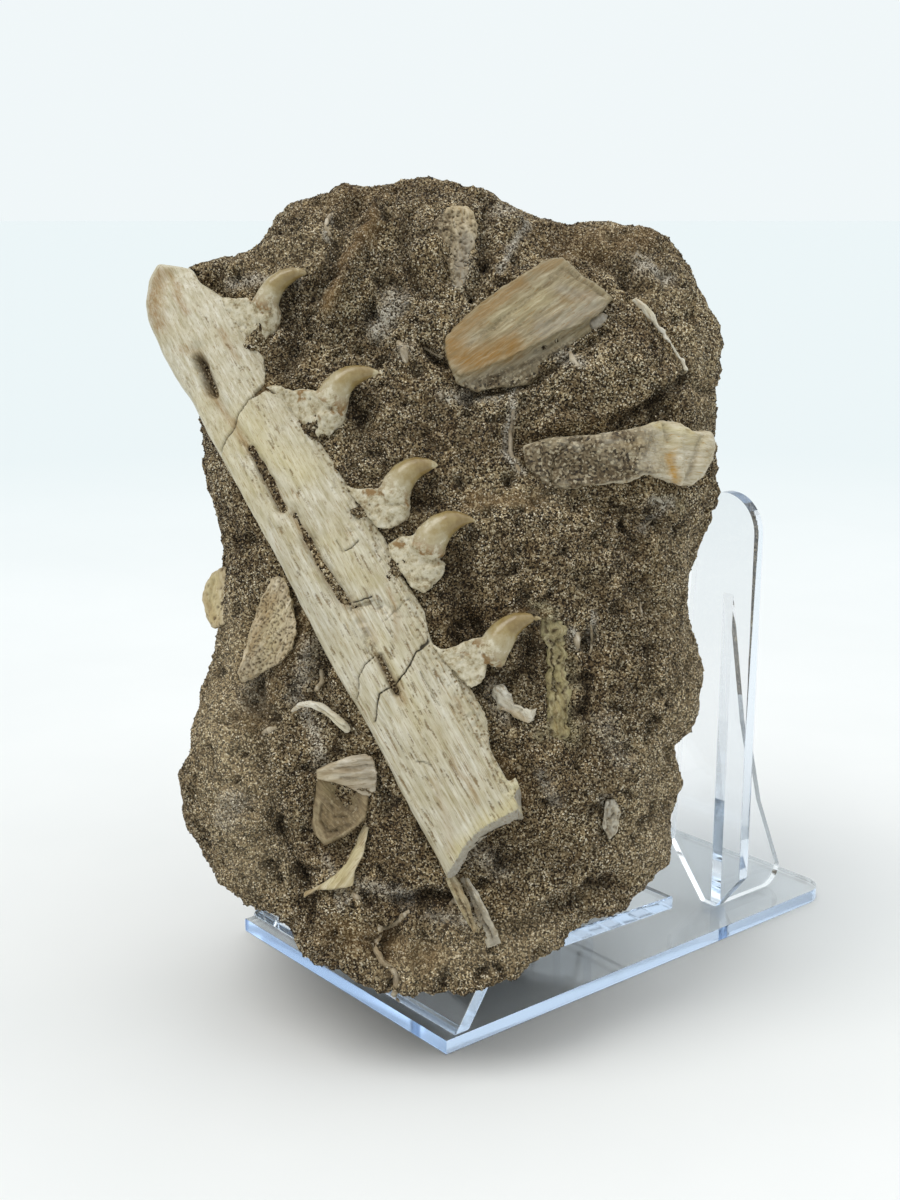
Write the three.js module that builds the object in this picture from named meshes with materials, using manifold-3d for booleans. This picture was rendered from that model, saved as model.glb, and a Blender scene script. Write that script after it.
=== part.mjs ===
// A jaw section of a marine reptile with its teeth, held in a block of sandstone,
// which rests on a clear acrylic easel. Millimetres, +Z up, the easel's front faces -Y.
// The origin is the middle of the underside of the easel's base plate.
import * as THREE from 'three';
import { ImprovedNoise } from 'three/addons/math/ImprovedNoise.js';
import { mergeVertices } from 'three/addons/utils/BufferGeometryUtils.js';
import Module from 'manifold-3d';

const wasm = await Module();
wasm.setup();

// Easel, cut from sheet acrylic
const SHEET = 3;
const GAP = 0.3;
const BASE_WIDTH = 75;
const BASE_DEPTH = 122;
const BASE_CORNER = 6;
const RISER_LEAN = THREE.MathUtils.degToRad(34);
const LEDGE_FRONT = -49;
const LEDGE_BACK = 5;
const LEDGE_HEIGHT = 17.3;
const LEDGE_FALL = THREE.MathUtils.degToRad(1.7);
const PRONG_FACE = 29.3;
const PRONG_TOP = 103.7;
const PRONG_OUTER = 36;
const PRONG_INNER = 18.5;
const PRONG_WAIST = 14;
const PRONG_FOOT = 4.5;
const PRONG_FOOT_RISE = 9;
const PRONG_WAIST_RISE = 12.5;
const FIN_X = 27.5;
const FIN_BACK = 52.7;
const FIN_CORNER = 5;
const FIN_CURVE = [[12, 26.5], [6, 48], [0, 80]];

// Stone block, in its own frame: x to the right along the face, y up it, z out of the face
const STONE_TURN = THREE.MathUtils.degToRad(50.5);
const STONE_LEAN = THREE.MathUtils.degToRad(13.5);
const STONE_CENTRE = new THREE.Vector3(6.2, -34.3, 84.5);
const FRONT_DEPTH = 37;
const BACK_DEPTH = 47;
const BACK_SWELL = 9;
const FACE_ROUNDNESS = 0.8;
const BACK_ROUNDNESS = 0.65;
const EDGE_FORWARD_AT_FOOT = 34;
const EDGE_BACK_AT_TOP = 10;
const STONE_OUTLINE = [
  [-46.5, 74], [-40.5, 78.5], [-34.5, 86.5], [-25.5, 88.5], [-15.5, 90], [-5, 90.7], [6, 89.8],
  [12.7, 86.2], [18.3, 80], [28.1, 81.3], [42.4, 79], [47.5, 76], [50.6, 68], [57, 58.5],
  [56.7, 46.5], [54, 41], [54.7, 33], [55.3, 22.5], [53.6, 16.5], [50.2, 7.8], [49.7, 1.5],
  [50.2, -5], [51.7, -11.7], [52.2, -19.5], [50.7, -27.3], [46, -32.4], [48.5, -40], [45.5, -46],
  [45, -54], [41.2, -58.8], [32, -63], [25, -64.3], [22, -68], [15.5, -72], [5, -75], [-3, -78],
  [-7.5, -78.5], [-14, -77], [-16, -72.5], [-25, -71.5], [-29, -69], [-31, -64.5], [-39, -64],
  [-47, -58.5], [-52, -54.5], [-54.8, -46], [-56.4, -37.6], [-53.7, -25.7], [-51.2, -19.7],
  [-48.5, -5.4], [-48.4, 7.4], [-47.6, 11.3], [-49.2, 19.8], [-52, 28.5], [-50.7, 34.3],
  [-50.5, 49], [-49, 65.5],
];

// Swellings and hollows of the face: middle, radius and height of each
const FACE_RELIEF = [
  { at: [-2, 77], radius: 9, height: 5 },
  { at: [-24, 72], radius: 11, height: 4 },
  { at: [-20, 50], radius: 9, height: -4 },
  { at: [14, 76], radius: 8, height: -3 },
  { at: [33, 50], radius: 14, height: 5 },
  { at: [45, 68], radius: 10, height: 4 },
  { at: [10, 55], radius: 10, height: -2 },
  { at: [38, 33], radius: 8, height: -3 },
  { at: [14, 12], radius: 14, height: 3 },
  { at: [-38, -22], radius: 12, height: -5 },
  { at: [-40, -45], radius: 10, height: 4 },
  { at: [-24, -44], radius: 8, height: -5 },
  { at: [-28, -62], radius: 9, height: 5 },
  { at: [2, -62], radius: 12, height: 4 },
  { at: [30, -30], radius: 12, height: 3 },
];

const colours = {
  acrylic: [0xdfeaf6, 0.06],
  sandstone: [0x6f604c, 0.95],
  jawBone: [0xd8cdb2, 0.6],
  enamel: [0xb09260, 0.3],
  bone: [0xbfae8a, 0.65],
  shell: [0xcbb9a0, 0.5],
};

function material(name) {
  const [color, roughness] = colours[name];
  const clear = name === 'acrylic';
  return new THREE.MeshStandardMaterial({
    name,
    color,
    roughness,
    metalness: 0,
    transparent: clear,
    opacity: clear ? 0.35 : 1,
  });
}

// Joins and cuts
function toSolid(geometry) {
  const bare = geometry.index ? geometry.clone() : geometry.clone().toNonIndexed();
  bare.deleteAttribute('normal');
  bare.deleteAttribute('uv');
  const merged = mergeVertices(bare, 1e-4);
  return new wasm.Manifold(new wasm.Mesh({
    numProp: 3,
    vertProperties: Float32Array.from(merged.attributes.position.array),
    triVerts: Uint32Array.from(merged.index.array),
  }));
}

function largestPiece(solid) {
  const pieces = solid.decompose();
  return pieces.reduce((best, piece) => (piece.volume() > best.volume() ? piece : best));
}

function toGeometry(solid) {
  const mesh = solid.getMesh();
  const geometry = new THREE.BufferGeometry();
  geometry.setAttribute('position', new THREE.BufferAttribute(mesh.vertProperties, 3));
  geometry.setIndex(new THREE.BufferAttribute(mesh.triVerts, 1));
  geometry.computeVertexNormals();
  return geometry;
}

function moveVertices(geometry, place) {
  const position = geometry.attributes.position;
  const point = new THREE.Vector3();
  for (let i = 0; i < position.count; i += 1) {
    point.fromBufferAttribute(position, i);
    place(point);
    position.setXYZ(i, point.x, point.y, point.z);
  }
  geometry.computeVertexNormals();
  return geometry;
}

// Stone: a rounded block whose rim follows the outline and whose face is gently domed
const rim = new THREE.CatmullRomCurve3(
  STONE_OUTLINE.map(([x, y]) => new THREE.Vector3(x, y, 0)), true, 'centripetal');
const RIM_STEPS = 360;
const rimRadius = new Array(RIM_STEPS).fill(0);
for (let i = 0; i < RIM_STEPS * 8; i += 1) {
  const point = rim.getPoint(i / (RIM_STEPS * 8));
  const slot = Math.floor(turnOf(point.x, point.y) * RIM_STEPS);
  rimRadius[slot] = Math.max(rimRadius[slot], Math.hypot(point.x, point.y));
}
const SMOOTHING = 30;
const smoothRadius = rimRadius.map((_, i) => {
  let total = 0;
  for (let j = -SMOOTHING; j <= SMOOTHING; j += 1) {
    total += rimRadius[(i + j + RIM_STEPS) % RIM_STEPS];
  }
  return total / (2 * SMOOTHING + 1);
});

function turnOf(x, y) {
  return (Math.atan2(y, x) / (2 * Math.PI) + 1) % 1;
}

function radiusAt(turn, share) {
  const slot = Math.floor(turn * RIM_STEPS) % RIM_STEPS;
  return THREE.MathUtils.lerp(smoothRadius[slot], rimRadius[slot], share * share);
}

// How far a point lies towards the rim, and how high the rim stands there
function rimShare(x, y) {
  const reach = Math.hypot(x, y);
  const turn = turnOf(x, y);
  const rough = Math.min(reach / radiusAt(turn, 1), 1);
  return Math.min(reach / radiusAt(turn, rough), 1);
}

function rimDepth(x, y) {
  const rimY = Math.sin(turnOf(x, y) * 2 * Math.PI) * radiusAt(turnOf(x, y), 1);
  const forward = THREE.MathUtils.smoothstep(-rimY, 50, 76);
  const backward = THREE.MathUtils.smoothstep(rimY, 60, 85);
  return EDGE_FORWARD_AT_FOOT * forward - EDGE_BACK_AT_TOP * backward;
}

function domeHeight(x, y, crown, roundness) {
  const share = rimShare(x, y);
  const dome = Math.cos(Math.asin(share ** (1 / roundness))) ** roundness;
  const edge = rimDepth(x, y) * share * share;
  return edge + (crown - edge) * dome;
}

function faceHeight(x, y) {
  let crown = FRONT_DEPTH;
  for (const { at, radius, height } of FACE_RELIEF) {
    const away = Math.hypot(x - at[0], y - at[1]) / radius;
    crown += height * Math.exp(-away * away);
  }
  return domeHeight(x, y, crown, FACE_ROUNDNESS);
}

function backHeight(x, y) {
  const swell = BACK_SWELL * THREE.MathUtils.smoothstep(x, -10, 45);
  return domeHeight(x, y, -BACK_DEPTH - swell, BACK_ROUNDNESS);
}

// Lumps left by weather: a coarse size, a fine size and how far they lift the skin
const COARSE_LUMP = 17;
const FINE_LUMP = 8;
const LUMP_LIFT = 2.6;
const lumps = new ImprovedNoise();

function lumpAt(x, y, z, size) {
  return lumps.noise(x / size, y / size, z / size);
}

function stoneBlock() {
  const sphere = new THREE.SphereGeometry(1, 64, 30);
  sphere.rotateX(Math.PI / 2);
  sphere.deleteAttribute('normal');
  sphere.deleteAttribute('uv');
  const ball = mergeVertices(sphere, 1e-5);
  return moveVertices(ball, (point) => {
    const front = point.z >= 0;
    const spread = Math.min(Math.hypot(point.x, point.y), 1);
    const share = spread ** (front ? FACE_ROUNDNESS : BACK_ROUNDNESS);
    const turn = turnOf(point.x, point.y);
    const reach = radiusAt(turn, share) * share;
    const x = reach * Math.cos(turn * 2 * Math.PI);
    const y = reach * Math.sin(turn * 2 * Math.PI);
    const z = front ? faceHeight(x, y) : backHeight(x, y);
    const lift = LUMP_LIFT * (lumpAt(x, y, z, COARSE_LUMP) + 0.5 * lumpAt(x, y, z, FINE_LUMP));
    const out = new THREE.Vector3(x, y, z * 1.3).normalize();
    point.set(x + out.x * lift, y + out.y * lift, z + out.z * lift);
  });
}

// Easel
const ARC_STEPS = 12;

function plate(shape, thickness) {
  const settings = { depth: thickness, bevelEnabled: false, curveSegments: ARC_STEPS };
  return new THREE.ExtrudeGeometry(shape, settings);
}

function baseShape() {
  const right = BASE_WIDTH / 2;
  const back = BASE_DEPTH / 2;
  const shape = new THREE.Shape();
  shape.moveTo(-right, -back);
  shape.lineTo(right, -back);
  shape.lineTo(right, back - BASE_CORNER);
  shape.absarc(right - BASE_CORNER, back - BASE_CORNER, BASE_CORNER, 0, Math.PI / 2, false);
  shape.lineTo(-right + BASE_CORNER, back);
  shape.absarc(-right + BASE_CORNER, back - BASE_CORNER, BASE_CORNER, Math.PI / 2, Math.PI, false);
  shape.closePath();
  return shape;
}

function box(width, depth, height, x, y, z) {
  const geometry = new THREE.BoxGeometry(width, depth, height);
  geometry.translate(x, y, z);
  return geometry;
}

const easel = new THREE.Group();
const acrylic = material('acrylic');

function addTo(group, name, geometry, finish) {
  const mesh = new THREE.Mesh(geometry, finish);
  mesh.name = name;
  group.add(mesh);
  return mesh;
}

addTo(easel, 'base_plate', plate(baseShape(), SHEET), acrylic);

// The riser leans back from the front edge and carries the ledge; both are drawn as side profiles
const SIDE_VIEW = new THREE.Matrix4().makeBasis(
  new THREE.Vector3(0, 1, 0), new THREE.Vector3(0, 0, 1), new THREE.Vector3(1, 0, 0));

function sideProfile(points, width) {
  const shape = new THREE.Shape(points.map(([y, z]) => new THREE.Vector2(y, z)));
  const geometry = plate(shape, width);
  geometry.applyMatrix4(SIDE_VIEW);
  geometry.translate(-width / 2, 0, 0);
  return geometry;
}

const riserFoot = -BASE_DEPTH / 2;
const riserReach = SHEET / Math.cos(RISER_LEAN);
const riserTop = LEDGE_HEIGHT - SHEET - GAP;
const riserBottom = SHEET + GAP;
const leanPer = Math.tan(RISER_LEAN);
const riserProfile = [
  [riserFoot + riserBottom * leanPer, riserBottom],
  [riserFoot + riserBottom * leanPer + riserReach, riserBottom],
  [riserFoot + riserTop * leanPer + riserReach, riserTop],
  [riserFoot + riserTop * leanPer, riserTop],
];
addTo(easel, 'front_riser', sideProfile(riserProfile, BASE_WIDTH), acrylic);

const ledgeDrop = (LEDGE_BACK - LEDGE_FRONT) * Math.tan(LEDGE_FALL);
const ledgeNose = riserFoot + (LEDGE_HEIGHT - SHEET) * leanPer;
const ledgeProfile = [
  [ledgeNose, LEDGE_HEIGHT - SHEET],
  [LEDGE_BACK, LEDGE_HEIGHT - SHEET - ledgeDrop],
  [LEDGE_BACK, LEDGE_HEIGHT - ledgeDrop],
  [LEDGE_FRONT, LEDGE_HEIGHT],
];
addTo(easel, 'ledge', sideProfile(ledgeProfile, BASE_WIDTH), acrylic);

function prongShape(side) {
  const foot = SHEET + GAP;
  const topRadius = (PRONG_OUTER - PRONG_INNER) / 2;
  const outline = new THREE.Shape();
  outline.moveTo(FIN_X + SHEET / 2 - PRONG_FOOT, foot);
  outline.lineTo(FIN_X + SHEET / 2, foot);
  outline.lineTo(PRONG_OUTER, foot + PRONG_FOOT_RISE);
  outline.lineTo(PRONG_OUTER, PRONG_TOP - topRadius);
  outline.absarc(PRONG_OUTER - topRadius, PRONG_TOP - topRadius, topRadius, 0, Math.PI, false);
  outline.lineTo(PRONG_WAIST, foot + PRONG_WAIST_RISE);
  const points = outline.getPoints(ARC_STEPS).map((point) => new THREE.Vector2(side * point.x, point.y));
  return new THREE.Shape(points);
}

function finShape() {
  const foot = SHEET + GAP;
  const front = PRONG_FACE + SHEET + GAP;
  const centre = FIN_BACK - FIN_CORNER;
  const shape = new THREE.Shape();
  shape.moveTo(front, foot);
  shape.lineTo(centre, foot);
  shape.absarc(centre, foot + FIN_CORNER, FIN_CORNER, -Math.PI / 2, 0, false);
  FIN_CURVE.forEach(([behind, height]) => shape.lineTo(front + behind, height));
  shape.closePath();
  return shape;
}

for (const [name, side] of [['right', 1], ['left', -1]]) {
  const prong = plate(prongShape(side), SHEET);
  prong.rotateX(Math.PI / 2);
  prong.translate(0, PRONG_FACE + SHEET, 0);
  addTo(easel, `prong_${name}`, prong, acrylic);
  const fin = plate(finShape(), SHEET);
  fin.applyMatrix4(SIDE_VIEW);
  fin.translate(side * FIN_X - SHEET / 2, 0, 0);
  addTo(easel, `fin_${name}`, fin, acrylic);
}

const specimen = new THREE.Group();
specimen.rotation.set(Math.PI / 2 - STONE_LEAN, 0, STONE_TURN, 'ZXY');
specimen.position.copy(STONE_CENTRE);
specimen.updateMatrixWorld();
const intoStone = specimen.matrixWorld.clone().invert();

// The stone keeps clear of the ledge that it stands on and of the prongs that it leans towards
function roomForEasel() {
  const wide = 260;
  const deep = 100;
  const seat = box(wide, wide, deep, 0, 0, -deep / 2);
  seat.rotateX(-LEDGE_FALL);
  seat.translate(0, LEDGE_FRONT, LEDGE_HEIGHT + GAP);
  const backrest = box(wide, deep, wide, 0, PRONG_FACE - GAP + deep / 2, deep);
  return toSolid(seat.applyMatrix4(intoStone)).add(toSolid(backrest.applyMatrix4(intoStone)));
}

// Long pieces: a round bar with square-set ends, bent along its stations.
// Each station gives the middle of the section, half its width and half its thickness.
function limb({ stations, sides = 10, steps = 10, squareness = 1 }, swelling) {
  const path = new THREE.CatmullRomCurve3(stations.map(({ at }) => new THREE.Vector3(...at)));
  const bar = new THREE.CylinderGeometry(1, 1, 1, sides, steps);
  bar.deleteAttribute('normal');
  bar.deleteAttribute('uv');
  const outward = new THREE.Vector3(0, 0, 1);
  return moveVertices(mergeVertices(bar, 1e-5), (point) => {
    const along = THREE.MathUtils.clamp(point.y + 0.5, 0, 1);
    const place = along * (stations.length - 1);
    const before = Math.min(Math.floor(place), stations.length - 2);
    const blend = place - before;
    const [halfWidth, halfThickness] = [0, 1].map((side) => swelling + THREE.MathUtils.lerp(
      stations[before].half[side], stations[before + 1].half[side], blend));
    const ahead = path.getTangent(along);
    const sideways = ahead.clone().cross(outward).normalize();
    const lifted = sideways.clone().cross(ahead);
    const size = Math.hypot(point.x, point.z);
    const across = Math.sign(point.x) * Math.abs(point.x) ** squareness * halfWidth;
    const above = Math.sign(point.z) * Math.abs(point.z) ** squareness * halfThickness;
    const end = along < 1e-6 ? -1 : Number(along > 1 - 1e-6);
    point.copy(path.getPoint(along));
    if (size > 1e-6) {
      point.addScaledVector(sideways, across).addScaledVector(lifted, above);
    }
    point.addScaledVector(ahead, end * swelling);
  });
}

// Flat pieces: an outline on the face, standing proud of the stone and reaching down into it
function swollenOutline(outline, swelling) {
  const count = outline.length;
  const area = outline.reduce((sum, [x, y], i) => {
    const [nextX, nextY] = outline[(i + 1) % count];
    return sum + x * nextY - nextX * y;
  }, 0);
  const outwards = Math.sign(area) * swelling;
  return outline.map(([x, y], i) => {
    const here = new THREE.Vector2(x, y);
    const intoCorner = here.clone().sub(new THREE.Vector2(...outline[(i + count - 1) % count]));
    const outOfCorner = new THREE.Vector2(...outline[(i + 1) % count]).sub(here);
    const along = intoCorner.normalize().add(outOfCorner.normalize()).normalize();
    return [x + along.y * outwards, y - along.x * outwards];
  });
}

const ROOM_ABOVE = 8;
const ROOM_BELOW = 3;

function flake({ outline, proud, depth }, swelling) {
  const corners = swollenOutline(outline, swelling).map(([x, y]) => new THREE.Vector2(x, y));
  const slab = plate(new THREE.Shape(corners), 1);
  slab.deleteAttribute('normal');
  slab.deleteAttribute('uv');
  return moveVertices(mergeVertices(slab, 1e-4), (point) => {
    const surface = faceHeight(point.x, point.y);
    point.z = surface + (point.z > 0.5 ? proud + ROOM_ABOVE * swelling : -depth - ROOM_BELOW * swelling);
  });
}

const tooth = (base, neck, bend, tip, radius) => ({
  form: limb,
  finish: 'enamel',
  stations: [
    { at: base, half: [radius * 1.15, radius * 1.1] },
    { at: neck, half: [radius, radius * 0.95] },
    { at: bend, half: [radius * 0.66, radius * 0.7] },
    { at: tip, half: [0.45, 0.45] },
  ],
  sides: 10,
  steps: 9,
});

const even = (radii, points) => points.map((at, i) => ({ at, half: [radii[i], radii[i] * 0.8] }));

// Everything held in the stone, largest first; each piece gives way to those before it
const FOSSILS = {
  jaw_bone: {
    form: limb,
    finish: 'jawBone',
    squareness: 0.8,
    sides: 14,
    steps: 18,
    stations: [
      { at: [-58.5, 66, 14], half: [6.6, 5] },
      { at: [-53, 58.5, 17.5], half: [8.4, 6] },
      { at: [-44.5, 45, 23], half: [9.3, 6.5] },
      { at: [-33, 28.5, 28.5], half: [10.2, 6.5] },
      { at: [-25, 13, 32.5], half: [10.6, 6.5] },
      { at: [-17, -3, 35.5], half: [9.9, 6.5] },
      { at: [-9.5, -17, 37], half: [9.2, 6.5] },
      { at: [-0.5, -34, 37.5], half: [9.5, 6.5] },
      { at: [6.5, -47, 37], half: [9.4, 6] },
    ],
  },
  tooth_1: tooth([-38.5, 51, 25.5], [-35.7, 59.5, 26.5], [-32.7, 63.4, 27], [-28.7, 64.8, 28], 3.1),
  tooth_2: tooth([-26.5, 33, 32.5], [-23, 39.7, 34], [-19.4, 43.6, 34.5], [-13.8, 44.6, 35], 3.3),
  tooth_3: tooth([-17, 17.5, 36], [-11.9, 21.1, 38], [-8, 24.9, 38.5], [-2.5, 26.4, 39], 3.5),
  tooth_4: tooth([-11, 5, 37.5], [-5.7, 10.5, 39.5], [-1.9, 14.3, 40], [4.8, 15.6, 40], 3.7),
  tooth_5: tooth([-0.5, -15.5, 38], [5.7, -9.5, 39.5], [9.5, -6.1, 40], [17.1, -3, 40], 3.8),
  bone_plate: {
    form: flake,
    finish: 'bone',
    outline: [[-2, 45], [0, 50], [10, 58], [22, 68], [25, 67], [32, 59], [30, 56], [21, 48],
      [10, 44], [1, 41]],
    proud: 2.6,
    depth: 4,
  },
  long_bone: {
    form: limb,
    finish: 'bone',
    squareness: 0.85,
    steps: 8,
    stations: [
      { at: [15, 28, 34], half: [3, 3.5] },
      { at: [25, 27.5, 35], half: [5, 4.5] },
      { at: [37, 28, 32.5], half: [6.2, 5] },
      { at: [51, 28.5, 23], half: [5.6, 4.5] },
    ],
  },
  porous_bone_left: {
    form: flake,
    finish: 'bone',
    outline: [[-40, -4], [-37, 0], [-31, 3], [-29, 0], [-29, -5], [-31, -10], [-37, -16], [-42, -16]],
    proud: 1.4,
    depth: 5,
  },
  porous_bone_right: {
    form: flake,
    finish: 'bone',
    outline: [[18, -4.5], [21, -5], [24, -9.5], [24.5, -19], [23, -27], [20, -26], [18.5, -17], [18, -8]],
    proud: 1,
    depth: 3,
  },
  porous_bone_top: {
    form: flake,
    finish: 'bone',
    outline: [[-2, 77], [4, 78], [5, 75], [3, 68], [2, 62.5], [-1, 63], [0, 70], [-2.5, 74]],
    proud: 1,
    depth: 3,
  },
  bone_edge: {
    form: flake,
    finish: 'bone',
    outline: [[35.5, 60.5], [37, 60], [42, 54], [48, 45.5], [46.5, 44.5], [40.7, 52.5], [35, 59]],
    proud: 1.6,
    depth: 4,
  },
  bone_bits: {
    form: flake,
    finish: 'bone',
    outline: [[8, -16], [11.5, -17], [15.5, -22], [12.5, -23], [9, -21]],
    proud: 1.6,
    depth: 3,
  },
  shell_upper: {
    form: flake,
    finish: 'shell',
    outline: [[-25.5, -31.5], [-22, -29.5], [-14, -30], [-14, -36], [-20.5, -35.5], [-25, -35]],
    proud: 1.4,
    depth: 3,
  },
  shell_lower: {
    form: flake,
    finish: 'bone',
    outline: [[-26, -37], [-24, -36.5], [-16.5, -38], [-17.5, -43], [-20.5, -48], [-25, -47],
      [-26.5, -42]],
    proud: 1.8,
    depth: 4,
  },
  mottled_flake: {
    form: flake,
    finish: 'shell',
    outline: [[30, -38.5], [32.5, -40], [32, -46.5], [30, -46]],
    proud: 0.9,
    depth: 2.5,
  },
  bone_chip: {
    form: limb,
    finish: 'bone',
    sides: 8,
    steps: 5,
    stations: even([1.6, 3.4, 2], [[-49, 7.5, 6], [-50, 0.5, 7], [-48.5, -6, 8]]),
  },
  rib_splinter: {
    form: limb,
    finish: 'bone',
    sides: 8,
    steps: 8,
    stations: even([0.8, 1.3, 1.3, 0.9],
      [[-31, -21, 30.5], [-27, -20, 32.5], [-23, -22, 34], [-20.5, -25, 35]]),
  },
  loose_tooth: {
    form: limb,
    finish: 'enamel',
    sides: 8,
    stations: even([0.5, 1.3, 1.8, 1.4, 0.5], [
      [-17, -45, 32.5], [-17.5, -49.5, 33.5], [-19.5, -53.5, 34], [-22.5, -56, 34], [-28, -57.5, 32.5],
    ]),
  },
  splinter_yellow: {
    form: limb,
    finish: 'bone',
    sides: 6,
    steps: 5,
    stations: even([1, 1.2, 0.6], [[0.3, -54.5, 36], [3, -59.5, 36.5], [5.3, -64.5, 36]]),
  },
  splinter_white: {
    form: limb,
    finish: 'bone',
    sides: 6,
    steps: 5,
    stations: even([1.2, 1.4, 0.7], [[4, -54.5, 36], [7, -61, 36], [10, -67, 35]]),
  },
  edge_shell_upper: {
    form: limb,
    finish: 'shell',
    sides: 6,
    steps: 5,
    stations: even([0.8, 1.2, 0.8], [[-14, -62.5, 35], [-11, -61, 35.5], [-8, -58, 35]]),
  },
  edge_shell_lower: {
    form: limb,
    finish: 'shell',
    sides: 6,
    steps: 5,
    stations: even([1, 1.3, 1], [[-14.5, -65.5, 34.5], [-14.5, -69, 34.5], [-10.5, -73, 35.5]]),
  },
};

let stone = toSolid(stoneBlock()).subtract(roomForEasel());
let taken = null;
for (const [name, piece] of Object.entries(FOSSILS)) {
  const formed = toSolid(piece.form(piece, 0));
  const room = toSolid(piece.form(piece, GAP));
  const fitted = taken ? largestPiece(formed.subtract(taken)) : formed;
  taken = taken ? taken.add(room) : room;
  stone = stone.subtract(room);
  addTo(specimen, name, toGeometry(fitted), material(piece.finish));
}
addTo(specimen, 'sandstone', toGeometry(largestPiece(stone)), material('sandstone'));

const whole = new THREE.Group();
whole.add(easel, specimen);
export default whole;
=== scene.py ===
import math

import bmesh
import bpy
import numpy as np
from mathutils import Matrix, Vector, noise
from mathutils.bvhtree import BVHTree


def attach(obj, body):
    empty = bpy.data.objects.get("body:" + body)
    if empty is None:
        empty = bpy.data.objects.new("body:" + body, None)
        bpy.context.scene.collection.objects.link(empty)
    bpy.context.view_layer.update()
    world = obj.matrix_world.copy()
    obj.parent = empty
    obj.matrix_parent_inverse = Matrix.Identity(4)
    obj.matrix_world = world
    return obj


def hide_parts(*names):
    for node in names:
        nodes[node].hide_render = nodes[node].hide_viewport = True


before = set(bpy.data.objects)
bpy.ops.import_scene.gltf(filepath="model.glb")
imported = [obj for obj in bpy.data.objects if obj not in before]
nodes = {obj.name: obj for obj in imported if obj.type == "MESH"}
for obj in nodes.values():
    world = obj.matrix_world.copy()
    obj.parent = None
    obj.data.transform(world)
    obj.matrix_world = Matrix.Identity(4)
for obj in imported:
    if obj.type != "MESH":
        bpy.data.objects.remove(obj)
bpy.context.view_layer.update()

scene = bpy.context.scene


# Studio
# A pale table under a big softbox on the upper left, with white walls all round.
# The camera looks squarely at the stone's face from a little above the table.
EYE = np.array([0.2651, -0.2477, 0.1650])
AHEAD = np.array([-0.7503, 0.6185, -0.2334])
RIGHT = np.array([0.6361, 0.7716, 0.0])
UP = np.array([-0.1801, 0.1485, 0.9724])
PICTURE_WIDTH, PICTURE_HEIGHT = 900, 1200
SENSOR = 36
LENS = 48.27
FOCAL = LENS / SENSOR * PICTURE_HEIGHT
FACE_AWAY = 0.345



def placed(name, data):
    """A new object of a mesh, a lamp or a camera, in the scene."""
    thing = bpy.data.objects.new(name, data)
    scene.collection.objects.link(thing)
    return thing


scene.view_settings.view_transform = "Standard"
# Light goes through many faces of the clear sheets, so its path may be long
scene.cycles.max_bounces = 48
scene.cycles.glossy_bounces = 32
scene.cycles.transmission_bounces = 40
camera = placed("camera", bpy.data.cameras.new("camera"))
camera.data.lens = LENS
camera.data.sensor_width = SENSOR
camera.data.clip_start = 0.01
camera.location = EYE
camera.rotation_euler = Vector(AHEAD).to_track_quat("-Z", "Y").to_euler()
scene.camera = camera


def linear(hex_colour):
    """A colour written as six hex digits, as the renderer's own numbers."""
    parts = [int(hex_colour[i:i + 2], 16) / 255 for i in (0, 2, 4)]
    return tuple(p / 12.92 if p <= 0.04045 else ((p + 0.055) / 1.055) ** 2.4 for p in parts) + (1,)


def add_node(tree, kind, inputs=None, **settings):
    """One node; each input is a number, a colour or another node's output."""
    node = tree.nodes.new(kind)
    for name, value in settings.items():
        setattr(node, name, value)
    for key, value in (inputs or {}).items():
        if isinstance(value, bpy.types.NodeSocket):
            tree.links.new(value, node.inputs[key])
        else:
            node.inputs[key].default_value = value
    return node


def window(name, towards, strength, softness, colour):
    """A far softbox that shines from one side, as wide as softness in degrees."""
    lamp = bpy.data.lights.new(name, "SUN")
    lamp.energy = strength
    lamp.angle = math.radians(softness)
    lamp.color = colour
    placed(name, lamp).rotation_euler = Vector(towards).to_track_quat("Z", "Y").to_euler()


window("key_window", (-0.06, -0.50, 0.90), 1.26, 36, (1.0, 0.985, 0.955))
window("top_window", (0.16, 0.40, 0.90), 0.90, 84, (0.97, 0.99, 1.0))

room = bpy.data.worlds.new("room")
room.use_nodes = True
room.node_tree.nodes.clear()
walls_seen = add_node(room.node_tree, "ShaderNodeBackground",
                      {"Color": (0.875, 0.930, 0.945, 1), "Strength": 1.0})
walls_light = add_node(room.node_tree, "ShaderNodeBackground",
                       {"Color": (0.93, 0.97, 1.0, 1), "Strength": 0.58})
light_path = add_node(room.node_tree, "ShaderNodeLightPath")
walls = add_node(room.node_tree, "ShaderNodeMixShader", {
    0: light_path.outputs["Is Diffuse Ray"], 1: walls_seen.outputs[0], 2: walls_light.outputs[0]})
add_node(room.node_tree, "ShaderNodeOutputWorld", {"Surface": walls.outputs[0]})
scene.world = room


def new_finish(name):
    """An empty material and its tree."""
    finish = bpy.data.materials.new(name)
    finish.use_nodes = True
    finish.node_tree.nodes.clear()
    return finish, finish.node_tree


def close_finish(tree, colour, roughness, gloss, relief=None):
    """The finish's surface. A relief is its strength, its depth in metres and its height map."""
    looks = {"Base Color": colour, "Roughness": roughness, "Specular IOR Level": gloss}
    if relief:
        strength, depth, height = relief
        bump = add_node(tree, "ShaderNodeBump", {"Strength": strength, "Distance": depth, "Height": height})
        looks["Normal"] = bump.outputs[0]
    surface = add_node(tree, "ShaderNodeBsdfPrincipled", looks)
    add_node(tree, "ShaderNodeOutputMaterial", {"Surface": surface.outputs[0]})


def own_place(tree):
    """The place on the piece itself, in metres."""
    return add_node(tree, "ShaderNodeTexCoord").outputs["Object"]


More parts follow.
